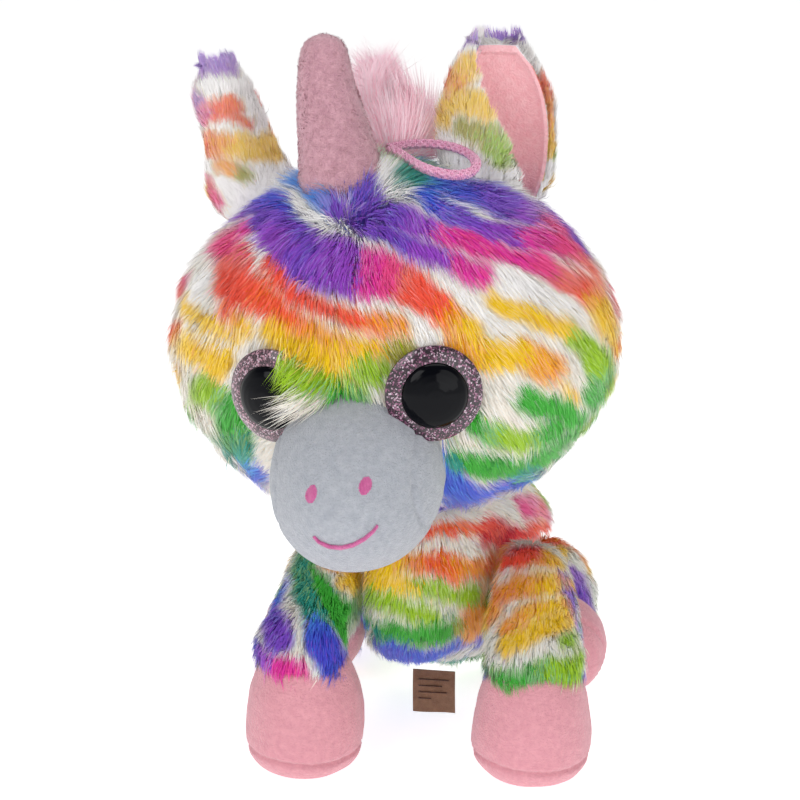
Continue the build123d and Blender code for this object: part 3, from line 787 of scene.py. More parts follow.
def spaced(line, step):
    """The same line with evenly spaced points."""
    run = np.concatenate([[0], np.cumsum(np.linalg.norm(np.diff(line, axis=0), axis=1))])
    places = np.linspace(0, run[-1], max(int(run[-1] / step), 8))
    return np.stack([np.interp(places, run, line[:, k]) for k in range(3)], axis=1), places


def tube(line, radius, sides):
    """Points and faces of a closed tube along a line."""
    _, across, other = frames(line)
    radius = np.broadcast_to(radius, len(line))
    angle = np.arange(sides) / sides * 2 * math.pi
    ring = np.cos(angle)[None, :, None] * across[:, None] + np.sin(angle)[None, :, None] * other[:, None]
    points = (line[:, None] + ring * radius[:, None, None]).reshape(-1, 3)
    faces = grid_faces(len(line), sides)
    first, last = len(points), len(points) + 1
    points = np.vstack([points, line[:1], line[-1:]])
    end = (len(line) - 1) * sides
    for c in range(sides):
        d = (c + 1) % sides
        faces.append((first, d, c))
        faces.append((last, end + c, end + d))
    return points, faces


def joined(parts):
    """Points and faces of several tubes as one mesh."""
    points, faces, count = [], [], 0
    for more_points, more_faces in parts:
        points.append(more_points)
        faces += [tuple(v + count for v in face) for face in more_faces]
        count += len(more_points)
    return np.vstack(points), faces


def make_cord():
    line, run = spaced(cord_line(), 0.28)
    _, across, other = frames(line)
    parts = []
    for yarn in range(BRAID_YARNS):
        way = 1 if yarn % 2 else -1
        phase = 2 * math.pi * (yarn // 2) / (BRAID_YARNS // 2)
        angle = way * 2 * math.pi * run / BRAID_PITCH + phase
        rise = 0.16 * way * np.sin(BRAID_YARNS / 2 * 2 * math.pi * run / BRAID_PITCH)
        distance = (CORD_RADIUS - 0.42 + rise)[:, None]
        path = line + distance * (np.cos(angle)[:, None] * across + np.sin(angle)[:, None] * other)
        parts.append(tube(path, YARN_RADIUS, 6))
    parts.append(tube(line[::3], CORD_RADIUS - 0.45, 10))
    cord = make_piece("hanging_cord", *joined(parts), CORD_PINK, "hanging_loop", "pink_cord", "hanging_loop")


def make_bar_tack():
    """Rows of satin stitches over the cord's two ends."""
    parts = []
    for k in range(16):
        y = -3.4 + k * 0.52
        lift = 0.25 * math.sin(k * 2.1)
        line = [(-1.4, y, 62.4), (-0.6, y, 64.5 + lift), (0.8, y + 0.1, 65.2 + lift),
                (2.6, y + 0.05, 65.1 + lift), (3.4, y, 62.6)]
        line, _ = spaced(from_head(line), 0.5)
        parts.append(tube(line, STITCH_RADIUS, 6))
    make_piece("bar_tack_stitches", *joined(parts), THREAD_PINK, "head", "pink_thread", "loop_bar_tack")


make_cord()
make_bar_tack()


# ---------------------------------------------------------------- sewn skins
COVER_VOXEL = 4.0
CLOTH_FRAMES = 20
CLOTH_TENSION = 25
CLOTH_BENDING = 2


def settle(obj, cap, pressure=4.0):
    """Lets a stuffed cover swell as cloth, and keeps each point within cap mm of where it was."""
    before = np.empty(len(obj.data.vertices) * 3, np.float32)
    obj.data.vertices.foreach_get("co", before)
    cloth = obj.modifiers.new("cloth", "CLOTH")
    cloth.settings.use_pressure = True
    cloth.settings.uniform_pressure_force = pressure
    cloth.settings.effector_weights.gravity = 0
    cloth.settings.tension_stiffness = CLOTH_TENSION
    cloth.settings.bending_stiffness = CLOTH_BENDING
    cloth.point_cache.frame_start = 1
    cloth.point_cache.frame_end = CLOTH_FRAMES
    for step in range(1, CLOTH_FRAMES + 1):
        bpy.context.scene.frame_set(step)
    shaped = obj.evaluated_get(bpy.context.evaluated_depsgraph_get())
    after = np.empty(len(before), np.float32)
    shaped.data.vertices.foreach_get("co", after)
    obj.modifiers.remove(cloth)
    bpy.context.scene.frame_set(1)
    move = (after - before).reshape(-1, 3)
    reach = np.linalg.norm(move, axis=1, keepdims=True)
    move *= np.minimum(1, cap * MM / np.maximum(reach, 1e-9))
    obj.data.vertices.foreach_set("co", (before.reshape(-1, 3) + move).ravel())
    obj.data.update()


def remeshed(name, node, body, slot, cap, *nodes):
    """A stuffed cover that starts from the shape of its CAD stuffing."""
    data = frame["nodes"][node].data.copy()
    data.materials.clear()
    data.name = name
    piece = add_object(name, data, body, slot, *nodes)
    change = piece.modifiers.new("remesh", "REMESH")
    change.mode = "VOXEL"
    change.voxel_size = COVER_VOXEL * MM
    apply_all(piece)
    settle(piece, cap)
    smooth = piece.modifiers.new("smooth", "SMOOTH")
    smooth.iterations = 6
    finer = piece.modifiers.new("finer", "SUBSURF")
    finer.levels = 1
    finer.render_levels = 1
    apply_all(piece)
    piece.data.shade_smooth()
    return piece


def apply_all(piece):
    shaped = bpy.data.meshes.new_from_object(piece.evaluated_get(bpy.context.evaluated_depsgraph_get()))
    shaped.name = piece.data.name
    old = piece.data
    piece.modifiers.clear()
    piece.data = shaped
    bpy.data.meshes.remove(old)


def triangles(obj):
    """Points in mm and triangles of a mesh."""
    data = obj.data
    points = np.empty(len(data.vertices) * 3, np.float32)
    data.vertices.foreach_get("co", points)
    data.calc_loop_triangles()
    faces = np.empty(len(data.loop_triangles) * 3, np.int32)
    data.loop_triangles.foreach_get("vertices", faces)
    return points.reshape(-1, 3).astype(float) / MM, faces.reshape(-1, 3)


def move_points(obj, points):
    obj.data.vertices.foreach_set("co", (points * MM).astype(np.float32).ravel())
    obj.data.update()


def vertex_normals(obj):
    values = np.empty(len(obj.data.vertices) * 3, np.float32)
    obj.data.vertex_normals.foreach_get("vector", values)
    return values.reshape(-1, 3).astype(float)


def dye_backing(obj, dye):
    """Keeps the dyed colour on the mesh and gives it the fur's backing material."""
    points, _ = triangles(obj)
    colours = np.hstack([fur_colour(points, vertex_normals(obj), dye), np.ones((len(points), 1))])
    attribute = obj.data.color_attributes.new("dye", "FLOAT_COLOR", "POINT")
    attribute.data.foreach_set("color", colours.astype(np.float32).ravel())
    set_material(obj, DYED_BACKING)


def ellipsoid(centre, axes, sizes, rows, columns, end=math.pi):
    """Points and faces of an ellipsoid, from one pole along its third axis."""
    points = []
    for r in range(rows):
        polar = end * r / (rows - 1)
        for c in range(columns):
            angle = 2 * math.pi * c / columns
            local = (math.sin(polar) * math.cos(angle), math.sin(polar) * math.sin(angle), math.cos(polar))
            points.append(np.array(local) * sizes)
    return np.array(points) @ np.array(axes) + centre, grid_faces(rows, columns)


# ---------------------------------------------------------------- head
HEAD_INSET = 5.4
NECK_HOLE = 40.5
FUR_LIFT = 0.36
EYE_RADIUS = 15.0
HEAD_DYE = ("head", HEAD_STROKES, HEAD_CENTRE[2] - 62, HEAD_CENTRE[2] + 62)


def in_muzzle(points, grow_by):
    across, along = off_axis(points, MUZZLE_CENTRE, MUZZLE_AXIS)
    radius = np.linalg.norm(across, axis=1)
    return (along / (MUZZLE_REACH + grow_by)) ** 2 + (radius / (MUZZLE_RADIUS + grow_by)) ** 2 < 1


def in_eye(points, radius):
    hit = np.zeros(len(points), bool)
    for side in EYE_SEAT:
        across, along = off_axis(points, EYE_SEAT[side], EYE_AXIS[side])
        hit |= (np.linalg.norm(across, axis=1) < radius) & (along > -12)
    return hit


def make_head_skin():
    points, faces = ellipsoid(HEAD_CENTRE, HEAD_TURN.T, HEAD_SIZE - HEAD_INSET, 150, 220)
    normals = unit(((points - HEAD_CENTRE) @ HEAD_TURN / (HEAD_SIZE - HEAD_INSET) ** 2) @ HEAD_TURN.T)
    points = points + normals * (noise(points, 24.0, 21)[:, :1] * 0.9 + noise(points, 10.0, 22)[:, :1] * 0.4)
    away = points - NECK
    distance = np.linalg.norm(away, axis=1, keepdims=True)
    points = np.where(distance < NECK_HOLE, NECK + away / distance * NECK_HOLE, points)
    skin = make_piece("head_fur_backing", points, faces, None, "head", "rainbow_fur",
                      "head_cover", "head_stuffing")
    dye_backing(skin, HEAD_DYE)
    return skin


def head_flow(points):
    """The way the pile lies: down the sides, and away from the horn on the crown."""
    local = to_head(points)
    flow = np.stack([local[:, 0] * 0.010, 0.15 * np.sign(local[:, 1]), -np.ones(len(local))], axis=1)
    crown = np.clip((local[:, 2] - 30) / 25, 0, 1)[:, None]
    away = np.stack([local[:, 0] + 9, local[:, 1] + 10, np.zeros(len(local))], axis=1)
    swirl = noise(points, 15.0, 51) * 0.55
    return unit(unit(flow) * (1 - 0.75 * crown) + unit(away) * 0.9 * crown + swirl) @ HEAD_TURN.T


def head_roots(skin):
    """Places for the strands, clear of the neck, muzzle, eyes, horn and ears."""
    points, faces = triangles(skin)
    roots, normals = sample(points, faces, strands("head"), 31)
    keep = gap_to(roots, NECK) > NECK_HOLE + 2.5
    keep &= ~in_muzzle(roots, -1.0) & ~in_eye(roots, EYE_RADIUS + 0.4)
    keep &= round_cone(roots, HORN_BASE, 10.5, HORN_TIP, 7) > 0
    for side in EAR_ROOT:
        keep &= gap_to(roots, EAR_ROOT[side]) > 7.5
    return roots[keep], normals[keep]


def groomed(roots):
    """Flow, length and lift of the strands: up the horn, over the muzzle and over the right eye."""
    near_eye = np.max([fade(gap_to(roots, EYE_SEAT[side]), EYE_RADIUS, 8) for side in EYE_SEAT], axis=0)
    near_face = fade(gap_to(roots, MUZZLE_CENTRE), 31, 8)
    horn_way = unit(HORN_TIP - HORN_BASE)
    off_horn, _ = off_axis(roots, HORN_BASE, horn_way)
    near_horn = fade(np.linalg.norm(off_horn, axis=1), 15, 9) * (roots[:, 2] > HORN_BASE[2] - 25)
    eye = EYE_SEAT["right"]
    off_eye = roots - eye
    overhang = fade(gap_to(roots, eye), EYE_RADIUS, 8, 1.3) * (off_eye @ RIGHT > 4) * (off_eye[:, 2] > -11)
    toward_eye = unit(eye + np.array([0.0, -4.0, -3.0]) - roots)
    flow = head_flow(roots) + horn_way * (1.6 * near_horn)[:, None] + toward_eye * (4.0 * overhang)[:, None]
    brow = near_face * (roots[:, 2] > MUZZLE_CENTRE[2] + 14)
    shorter = 2.0 * near_eye * (1 - brow) + 1.4 * near_face
    longer = 5.5 * brow + 2.4 * near_horn + 9.0 * overhang
    return unit(flow), PILE_LENGTH["head"] - shorter + longer, FUR_LIFT + 0.4 * near_horn + 0.3 * overhang


def make_head_fur(skin):
    roots, normals = head_roots(skin)
    flow, length, lift = groomed(roots)
    local = to_head(roots)
    for end, in_end in (("front", local[:, 1] < 0), ("back", local[:, 1] >= 0)):
        for side, in_side in (("left", local[:, 0] > 0), ("right", local[:, 0] <= 0)):
            part = in_end & in_side
            dyed_pile("head_fur_%s_%s" % (end, side), "head", roots[part], normals[part], HEAD_DYE,
                      length[part], FUR_WIDTH, flow[part], lift=lift[part], droop=0.2)


HEAD_SKIN = make_head_skin()
make_head_fur(HEAD_SKIN)


# ---------------------------------------------------------------- torso
BODY_DYE = ("body", BODY_STROKES, 0, 100)


def backed(skin, sink, bump_size, bump_seed, bump, floor, dye, count, seed):
    """Sinks a cover below its pile, dyes it, and gives places for the strands."""
    points, faces = triangles(skin)
    normals = vertex_normals(skin)
    points = points - normals * sink + normals * noise(points, bump_size, bump_seed)[:, :1] * bump
    points[:, 2] = np.maximum(points[:, 2], floor)
    move_points(skin, points)
    dye_backing(skin, dye)
    return sample(points, faces, count, seed)


def make_torso():
    skin = remeshed("body_fur_backing", "body_stuffing", "torso", "rainbow_fur", 1.5,
                    "body_cover", "body_stuffing")
    roots, normals = backed(skin, 2.2, 20.0, 23, 0.8, 1.2, BODY_DYE, strands("torso"), 33)
    keep = (roots[:, 2] < NECK[2] + 30) | (gap_to(roots, NECK) > NECK_HOLE + 0.5)
    keep &= (roots[:, 2] > 3.5) | (normals[:, 2] > -0.8)
    for side in SHOULDER:
        keep &= round_cone(roots + normals * 3, SHOULDER[side], 15, ANKLE[side], 17) > 0
        keep &= round_cone(roots + normals * 3, HIP[side], 21, HOCK[side], 14) > 0
    roots, normals = roots[keep], normals[keep]
    flow = np.array([0.0, 0.0, -1.0]) + np.array([0, 0.5, 0]) * np.clip(normals[:, 2:3], 0, 1)
    length = np.minimum(PILE_LENGTH["torso"], 3 + roots[:, 2] * 0.4)
    for name, half in (("left", roots[:, 0] > NECK[0]), ("right", roots[:, 0] <= NECK[0])):
        dyed_pile("body_fur_" + name, "torso", roots[half], normals[half], BODY_DYE, length[half],
                  FUR_WIDTH, flow[half], lift=FUR_LIFT, droop=0.15)


make_torso()


# ---------------------------------------------------------------- legs and hooves
def nap(name, body, obj, ink, length, seed):
    """Fine nap that stands off a velour piece."""
    points, faces = triangles(obj)
    roots, normals = sample(points, faces, strands(body), seed)
    flow = unit(noise(roots, 9.0, 41) + np.array([0, 0, -0.4]))
    grow(name, body, None, roots, normals, lambda places: [np.full(len(places), PILE_NAMES.index(ink))] * 2,
         np.full(len(roots), length), 0.2, flow, lift=0.6, droop=0.1, clump=2.0, gather=0.2, ruffle=0.6)


def lathe(profile, centre, axes, rows, columns):
    """Surface of revolution from a half outline of (radius, height), smoothed through its points."""
    profile = np.array(profile, float)
    run = np.concatenate([[0], np.cumsum(np.linalg.norm(np.diff(profile, axis=0), axis=1))])
    places = np.linspace(0, run[-1], rows)
    radius = np.interp(places, run, profile[:, 0])
    height = np.interp(places, run, profile[:, 1])
    for _ in range(3):
        radius[1:-1] = (radius[:-2] + 2 * radius[1:-1] + radius[2:]) / 4
        height[1:-1] = (height[:-2] + 2 * height[1:-1] + height[2:]) / 4
    angle = np.arange(columns) / columns * 2 * math.pi
    points = np.stack([radius[:, None] * np.cos(angle), radius[:, None] * np.sin(angle),
                       np.broadcast_to(height[:, None], (rows, columns))], axis=2).reshape(-1, 3)
    points = points @ np.array(axes) + centre
    return points, grid_faces(rows, columns), np.repeat(height, columns), np.tile(angle, rows)


HOOF_PROFILE = [(0.5, 0.4), (6, 0.4), (12.5, 0.5), (16.2, 2.2), (18.6, 5.5), (19.7, 9.5), (20.0, 15),
                (19.6, 21), (18.4, 28), (16.6, 34), (14.8, 38.5), (10, 41), (0.5, 41)]
HOOF_SEAM = 8.6
HIND_HOOF_PROFILE = [(0.5, 24.2), (7, 23.4), (12.5, 20.5), (16.2, 15.6), (18.2, 10), (18.7, 5.5), (18.0, 1),
                     (16.2, -3.5), (12, -6), (0.5, -6)]
HIND_HOOF_SEAM = 15.0
HOOF_FLOOR = 0.35
SEAM_DEPTH = 1.3
SLEEVE_TUCK = 2.4


def make_hoof(body, centre, axes, profile, seam):
    """Velour hoof with a puckered sole seam and two side seams."""
    points, faces, height, angle = lathe(profile, centre, axes, 104, 96)
    out = unit(off_axis(points, centre, np.array(axes)[2])[0])
    groove = np.exp(-((height - seam - 0.5 * np.sin(angle * 2)) / 0.8) ** 2)
    pucker = np.exp(-((height - seam) / 2.6) ** 2) * np.sin(angle * 34 + 2 * np.sin(angle * 5))
    side_seam = np.exp(-(np.abs(np.sin(angle)) * 20 / 0.55) ** 2) * (height > seam)
    lump = noise(points, 15.0, 24)[:, 0] * 0.7 + noise(points, 6.0, 25)[:, 0] * 0.25
    points = points + out * (lump - SEAM_DEPTH * groove + 0.2 * pucker - 0.55 * side_seam)[:, None]
    points[:, 2] = np.maximum(points[:, 2], HOOF_FLOOR)
    hoof = make_piece(body + "_velour_hoof", points, faces, None, body, "pink_velour",
                      body + "_hoof", body + "_sole")
    settle(hoof, 0.8, 2.0)
    shaped, _ = triangles(hoof)
    shaped[:, 2] = np.maximum(shaped[:, 2], HOOF_FLOOR)
    move_points(hoof, shaped)
    set_material(hoof, VELOUR_PINK)


def make_sleeve(body, in_hoof, has_pile, low, high, count, seed):
    """Fur sleeve of a leg, tucked in where it goes inside the hoof."""
    skin = remeshed(body + "_backing", body + "_stuffing", body, "rainbow_fur", 1.0,
                    body + "_fur", body + "_stuffing")
    points, _ = triangles(skin)
    move_points(skin, points - vertex_normals(skin) * np.where(in_hoof(points), SLEEVE_TUCK, 0)[:, None])
    dye = ("leg", BODY_STROKES, low, high)
    roots, normals = backed(skin, 1.4, 16.0, 26, 0.6, 1.6, dye, count, seed)
    keep = has_pile(roots, normals)
    roots, normals = roots[keep], normals[keep]
    flow = np.tile(np.array([0.0, -0.9, -1.0]), (len(roots), 1))
    dyed_pile(body + "_pile", body, roots, normals, dye, np.full(len(roots), PILE_LENGTH["leg"]), FUR_WIDTH,
              flow, lift=FUR_LIFT, droop=0.15)


def make_front_leg(side, sign):
    wall = NECK[0] + 8 + 19 * sign

    def has_pile(roots, normals):
        inner = (normals[:, 0] * sign < -0.75) & ((roots[:, 0] - wall) * sign < 6)
        return (roots[:, 2] > HOOF_TOP - 0.5) & ~(inner & (roots[:, 1] > FOOT[side][1] + 16))

    def in_hoof(points):
        return points[:, 2] < HOOF_TOP - 1

    body = "front_leg_" + side
    make_sleeve(body, in_hoof, has_pile, 20, 90, strands("front_leg"), 51 + sign)
    make_hoof(body, FOOT[side], np.diag([1.0, 1.04, 1.0]), HOOF_PROFILE, HOOF_SEAM)


def make_hind_leg(side, sign):
    axis = unit(HOCK[side] - HIP[side])
    wall = NECK[0] + 3 + 24 * sign

    def has_pile(roots, normals):
        inner = (normals[:, 0] * sign < -0.75) & ((roots[:, 0] - wall) * sign < 7)
        off_floor = (roots[:, 2] > 3.2) | (normals[:, 2] > -0.75)
        return ((roots - HOCK[side]) @ axis < 0.5) & ~inner & off_floor

    def in_hoof(points):
        return (points - HOCK[side]) @ axis > -1

    body = "hind_leg_" + side
    make_sleeve(body, in_hoof, has_pile, 0, 60, strands("hind_leg"), 71 + sign)
    ahead = unit(axis * 0.8 + unit(axis * np.array([1, 1, 0])) * 0.6)
    make_hoof(body, HOCK[side], axes_about(ahead, (0, 0, -1.0)), HIND_HOOF_PROFILE, HIND_HOOF_SEAM)


for leg_side, leg_sign in SIGNS.items():
    make_front_leg(leg_side, leg_sign)
    make_hind_leg(leg_side, leg_sign)


# ---------------------------------------------------------------- muzzle
MUZZLE_SEAM = 23.2


def make_muzzle():
    sizes = np.array([MUZZLE_RADIUS, MUZZLE_RADIUS, MUZZLE_REACH])
    points, faces = ellipsoid(np.zeros(3), np.eye(3), sizes, 110, 150, math.radians(112))
    side_way, height_way, forward = points.T.copy()
    out = unit(points / sizes ** 2) @ MUZZLE_AXES
    chin = np.clip(-height_way / 28, 0, 1) * np.clip(forward / 30, 0, 1)
    points[:, 2] += 1.5 * np.clip(height_way / 28, 0, 1) * np.clip(forward / 37, 0, 1)
    points[:, 0] *= 1 + 0.05 * chin
    place = points @ MUZZLE_AXES + MUZZLE_CENTRE
    from_seam = np.abs(side_way) - MUZZLE_SEAM + 0.05 * height_way
    groove = np.exp(-(from_seam / 0.5) ** 2) * (forward > 0)
    pucker = np.exp(-(from_seam / 2.4) ** 2) * np.sin(height_way * 1.9 + forward)
    lump = noise(place, 16.0, 27)[:, 0] * 0.6 + noise(place, 7.0, 28)[:, 0] * 0.2
    bare = np.clip(1 - np.abs(side_way) / 20, 0, 1) * (forward > 18)
    place = place + out * (lump * (1 - 0.8 * bare) - 0.8 * groove + 0.18 * pucker)[:, None]
    muzzle = make_piece("velour_muzzle", place, faces, VELOUR_GREY, "head", "grey_velour",
                        "muzzle_cover", "muzzle_stuffing")


make_muzzle()


# ---------------------------------------------------------------- horn
def make_horn():
    axis = unit(HORN_TIP - HORN_BASE)
    reach = float(np.linalg.norm(HORN_TIP - HORN_BASE))
    profile = [(9.0, -9), (13.0, -6), (14.3, -2), (14.0, 2), (13.0, 8), (11.9, 15), (10.8, 23), (9.6, 31),
               (8.6, reach - 4), (7.6, reach), (5.9, reach + 3.6), (3.0, reach + 5.6), (0.3, reach + 6.0)]
    points, faces, height, angle = lathe(profile, HORN_BASE, axes_about(axis, (0, 1.0, 0)), 90, 88)
    out = unit(off_axis(points, HORN_BASE, axis)[0])
    fold = np.exp(-((height - 4 - 1.2 * np.sin(angle * 2)) / 1.3) ** 2)
    fold += 0.6 * np.exp(-((height - 11 - 1.5 * np.cos(angle * 3)) / 1.4) ** 2)
    seam = np.exp(-((np.abs(np.sin((angle - 2.2) / 2)) * 24) / 0.9) ** 2)
    lump = noise(points, 11.0, 29)[:, 0] * 0.5 + noise(points, 5.0, 30)[:, 0] * 0.22
    points = points + out * (lump - 0.45 * fold - 0.6 * seam)[:, None]
    points = points - RIGHT * (0.8 * np.sin(np.clip(height / reach, 0, 1) * math.pi))[:, None]
    horn = make_piece("velour_horn", points, faces, None, "horn", "pink_velour",
                      "horn_cover", "horn_stuffing")
    settle(horn, 0.5, 1.5)
    set_material(horn, VELOUR_ROSE)
    nap("horn_nap", "horn", horn, "nap_rose", PILE_LENGTH["horn"], 95)


make_horn()


# ---------------------------------------------------------------- ears
EARS = {
    # height, half widths and depths at even heights, angles of the two edges in degrees, lean and bow
    "left": dict(height=53.0, wide=(12, 15.5, 17, 17.5, 17, 15.5, 12.5, 7),
                 deep=(6.5, 7.5, 9, 10.5, 10, 9, 7, 3),
                 first=(-58, -63, -72, -84, -96, -108, -122, -140),
                 last=(-352, -352, -350, -348, -346, -344, -340, -335),
                 lean=np.array([-0.02, 0.04, 1.0]), bow=0.0),
    "right": dict(height=54.0, wide=(14, 14, 12, 9.5, 8, 7.5, 7, 3), deep=(9, 10, 10, 9, 8, 8, 6, 2),
                  first=(-176, -172, -168, -165, -165, -165, -165, -165),
                  last=(90, 90, 85, 80, 80, 80, 80, 80), lean=np.array([-0.33, 0.03, 1.0]), bow=-2.5),
}


def ear_sheet(side, rows, columns, offset):
    """Grid of points on a curled leaf, a given distance outside its middle layer."""
    shape = EARS[side]
    up = unit(shape["lean"])
    s = np.linspace(0, 1, rows)
    wide, deep, first, last = (stops(shape[key], s) for key in ("wide", "deep", "first", "last"))
    for _ in range(2):
        wide[1:-1] = (wide[:-2] + wide[1:-1] + wide[2:]) / 3
        deep[1:-1] = (deep[:-2] + deep[1:-1] + deep[2:]) / 3
    t = np.linspace(0, 1, columns)
    angle = np.radians(first[:, None] + (last - first)[:, None] * t[None])
    local_x = (wide[:, None] + offset) * np.cos(angle) + shape["bow"] * np.sin(s * math.pi)[:, None]
    local_y = (deep[:, None] + offset) * np.sin(angle)
    base = EAR_ROOT[side] - up * 7.5
    rise = s * shape["height"] + offset * (s > 0.97)
    back = np.array([0, 1.0, 0])
    points = base + rise[:, None, None] * up + local_x[..., None] * RIGHT + local_y[..., None] * back
    points = points.reshape(-1, 3)
    return points + noise(points, 14.0, 32 + (side == "left")) * 0.8


def rim_roots(outer, middle, count):
    """Places along the free edges of an ear, and the way the pile leaves them."""
    places, normals = [], []
    edges = ((outer[:, 0], outer[:, 1], middle[:, 0]), (outer[:, -1], outer[:, -2], middle[:, -1]),
             (outer[-1], outer[-2], middle[-1]))
    for edge, inward, core in edges:
        t = RANDOM.random(count) * (len(edge) - 1.001)
        k = t.astype(int)
        share = (t - k)[:, None]
        edge, inward, core = (line[k] + (line[k + 1] - line[k]) * share for line in (edge, inward, core))
        places.append(edge + (core - edge) * RANDOM.random((count, 1)) * 0.9)
        normals.append(unit(unit(edge - inward) + unit(edge - core) * 0.7))
    return np.vstack(places), np.vstack(normals)


EAR_SHEET = (44, 60)
EAR_HALF_THICKNESS = 1.3


def outward_triangles(faces, outer, inner):
    """Triangles of the outer sheet, turned to face away from the inner one."""
    corners = quads_to_triangles(faces)
    a, b, c = (outer[corners[:, k]] for k in range(3))
    facing = (np.cross(b - a, c - a) * (a - inner[corners[:, 0]])).sum()
    return corners[:, ::-1] if facing < 0 else corners


def ear_roots(side, faces, outer, middle, inner):
    """Places, normals and lengths of the pile on the back of an ear and round its edges."""
    triangles_out = outward_triangles(faces, outer, inner)
    roots, normals = sample(outer, triangles_out, strands("ear"), 101 + (side == "left"))
    outer, middle = (sheet.reshape(*EAR_SHEET, 3) for sheet in (outer, middle))
    rim_places, rim_normals = rim_roots(outer, middle, strands("ear_rim"))
    length = np.repeat([PILE_LENGTH["ear"], PILE_LENGTH["ear_rim"]], [len(roots), len(rim_places)])
    roots, normals = np.vstack([roots, rim_places]), np.vstack([normals, rim_normals])
    keep = gap_to(roots, EAR_ROOT[side]) > 5
    return roots[keep], normals[keep], length[keep]


def make_ear(side):
    body = "ear_" + side
    outer, middle, inner = (ear_sheet(side, *EAR_SHEET, offset * EAR_HALF_THICKNESS) for offset in (1, 0, -1))
    faces = grid_faces(*EAR_SHEET, wrap=False)
    rim = rim_faces(edge_loop(*EAR_SHEET), len(outer))
    turned = [face[::-1] for face in faces + rim]
    skin = make_piece(body + "_backing", np.vstack([outer, middle]), faces + rim, None, body, "rainbow_fur",
                      body + "_fur")
    dye = ("ear", EAR_STROKES, EAR_ROOT[side][2], EAR_ROOT[side][2] + 50)
    dye_backing(skin, dye)
    make_piece(body + "_velour", np.vstack([inner, middle]), turned, VELOUR_LINING, body, "pink_velour",
               body + "_lining")
    roots, normals, length = ear_roots(side, faces, outer, middle, inner)
    flow = np.tile(unit(EARS[side]["lean"]), (len(roots), 1))
    dyed_pile(body + "_pile", body, roots, normals, dye, length, 0.8 * FUR_WIDTH, flow,
              lift=FUR_LIFT, droop=0.1)


for ear_side in SIGNS:
    make_ear(ear_side)


# ---------------------------------------------------------------- mane, tail
TUFT_WIDTH = 0.34
NAPE_RADIUS = 59.5
TUFT_TINTS = [PILE_NAMES.index("pile_tuft" + tint) for tint in ("", "_pale", "_pale", "_deep")]


def long_pile(name, body, node, roots, normals, flow, length, core):
    """A tuft of long hair, and the small core that it stands on."""
    tints = np.array(TUFT_TINTS)

    def inks_of(places):
        return tints[RANDOM.integers(0, 4, len(places))], tints[RANDOM.integers(0, 3, len(places))]

    grow(name, body, "long_pink_fur", roots, normals, inks_of, length, TUFT_WIDTH, flow,
         lift=0.35, droop=0.12, clump=4.0, gather=0.4, ruffle=0.9)
    make_piece(name + "_backing", *core, TUFT_BACKING, body, "long_pink_fur", node)


def spindle(a, b, radius):
    axis = unit(b - a)
    sizes = np.array([radius, radius, float(np.linalg.norm(b - a)) / 2])
    points, faces = ellipsoid((a + b) / 2, axes_about(axis, (-0.3, -1.0, -0.1)), sizes, 40, 36)
    return points + noise(points, 6.0, 36), faces


def nape_strip():
    """Places and directions of the mane's run down the back of the head."""
    count = 60
    arc = np.radians(np.linspace(68, -8, count))
    behind, above = NAPE_RADIUS * np.cos(arc), NAPE_RADIUS * np.sin(arc)
    strip = [np.stack([np.full(count, x), behind, above], axis=1) for x in (-5.5, 5.5)]
    faces = [(k, k + 1, k + count + 1, k + count) for k in range(count - 1)]
    roots, _ = sample(from_head(np.vstack(strip)), quads_to_triangles(faces), strands("nape"), 112)
    outward = unit(to_head(roots) * np.array([0.15, 1, 1])) @ HEAD_TURN.T
    down = np.cross(HEAD_ACROSS, outward)
    return roots, outward, down * np.where(down[:, 2] > 0, -1, 1)[:, None]


def make_mane():
    low, high = from_head((-1, 22, 52)), from_head((-2, 25, 76))
    core = spindle(low, high, 8.0)
    roots, normals = sample(core[0], quads_to_triangles(core[1]), strands("mane"), 111)
    flow = np.tile(unit(high - low) + np.array([-0.4, 0.0, 0.0]), (len(roots), 1))
    length = 15 + 7 * RANDOM.random(len(roots))
    nape_roots, outward, down = nape_strip()
    length = np.concatenate([length, 15 + 8 * RANDOM.random(len(nape_roots))])
    long_pile("mane_pile", "head", "mane_tuft", np.vstack([roots, nape_roots]), np.vstack([normals, outward]),
              np.vstack([flow, down]), length, core)


def make_tail():
    root = RUMP + np.array([0, 0.966, 0.259]) * 48.6
    tip = root + np.array([0, 20.0, -20.0])
    core = spindle(root - np.array([0, 2, -2]), tip, 6.0)
    roots, normals = sample(core[0], quads_to_triangles(core[1]), strands("tail"), 121)
    flow = np.tile(unit(tip - root), (len(roots), 1))
    length = 15 + 6 * RANDOM.random(len(roots))
    long_pile("tail_pile", "tail", "tail_tuft", roots, normals, flow, length, core)


make_mane()
make_tail()


# ---------------------------------------------------------------- care label
LABEL_WIDE, LABEL_HIGH = 15.0, 16.0
LABEL_HALF_THICKNESS = 0.22
LABEL_LINES = ((-5.4, 5.4), (-5.4, 3.0), (-5.4, 4.6), (-5.4, -1.0))


def label_bow(across, level):
    """How far the hanging label stands off its plane."""
    fall = LABEL_HIGH / 2 - level
    return 0.5 * np.sin(across * 0.3) * fall / LABEL_HIGH - 0.3 * np.sin(fall * 0.25)


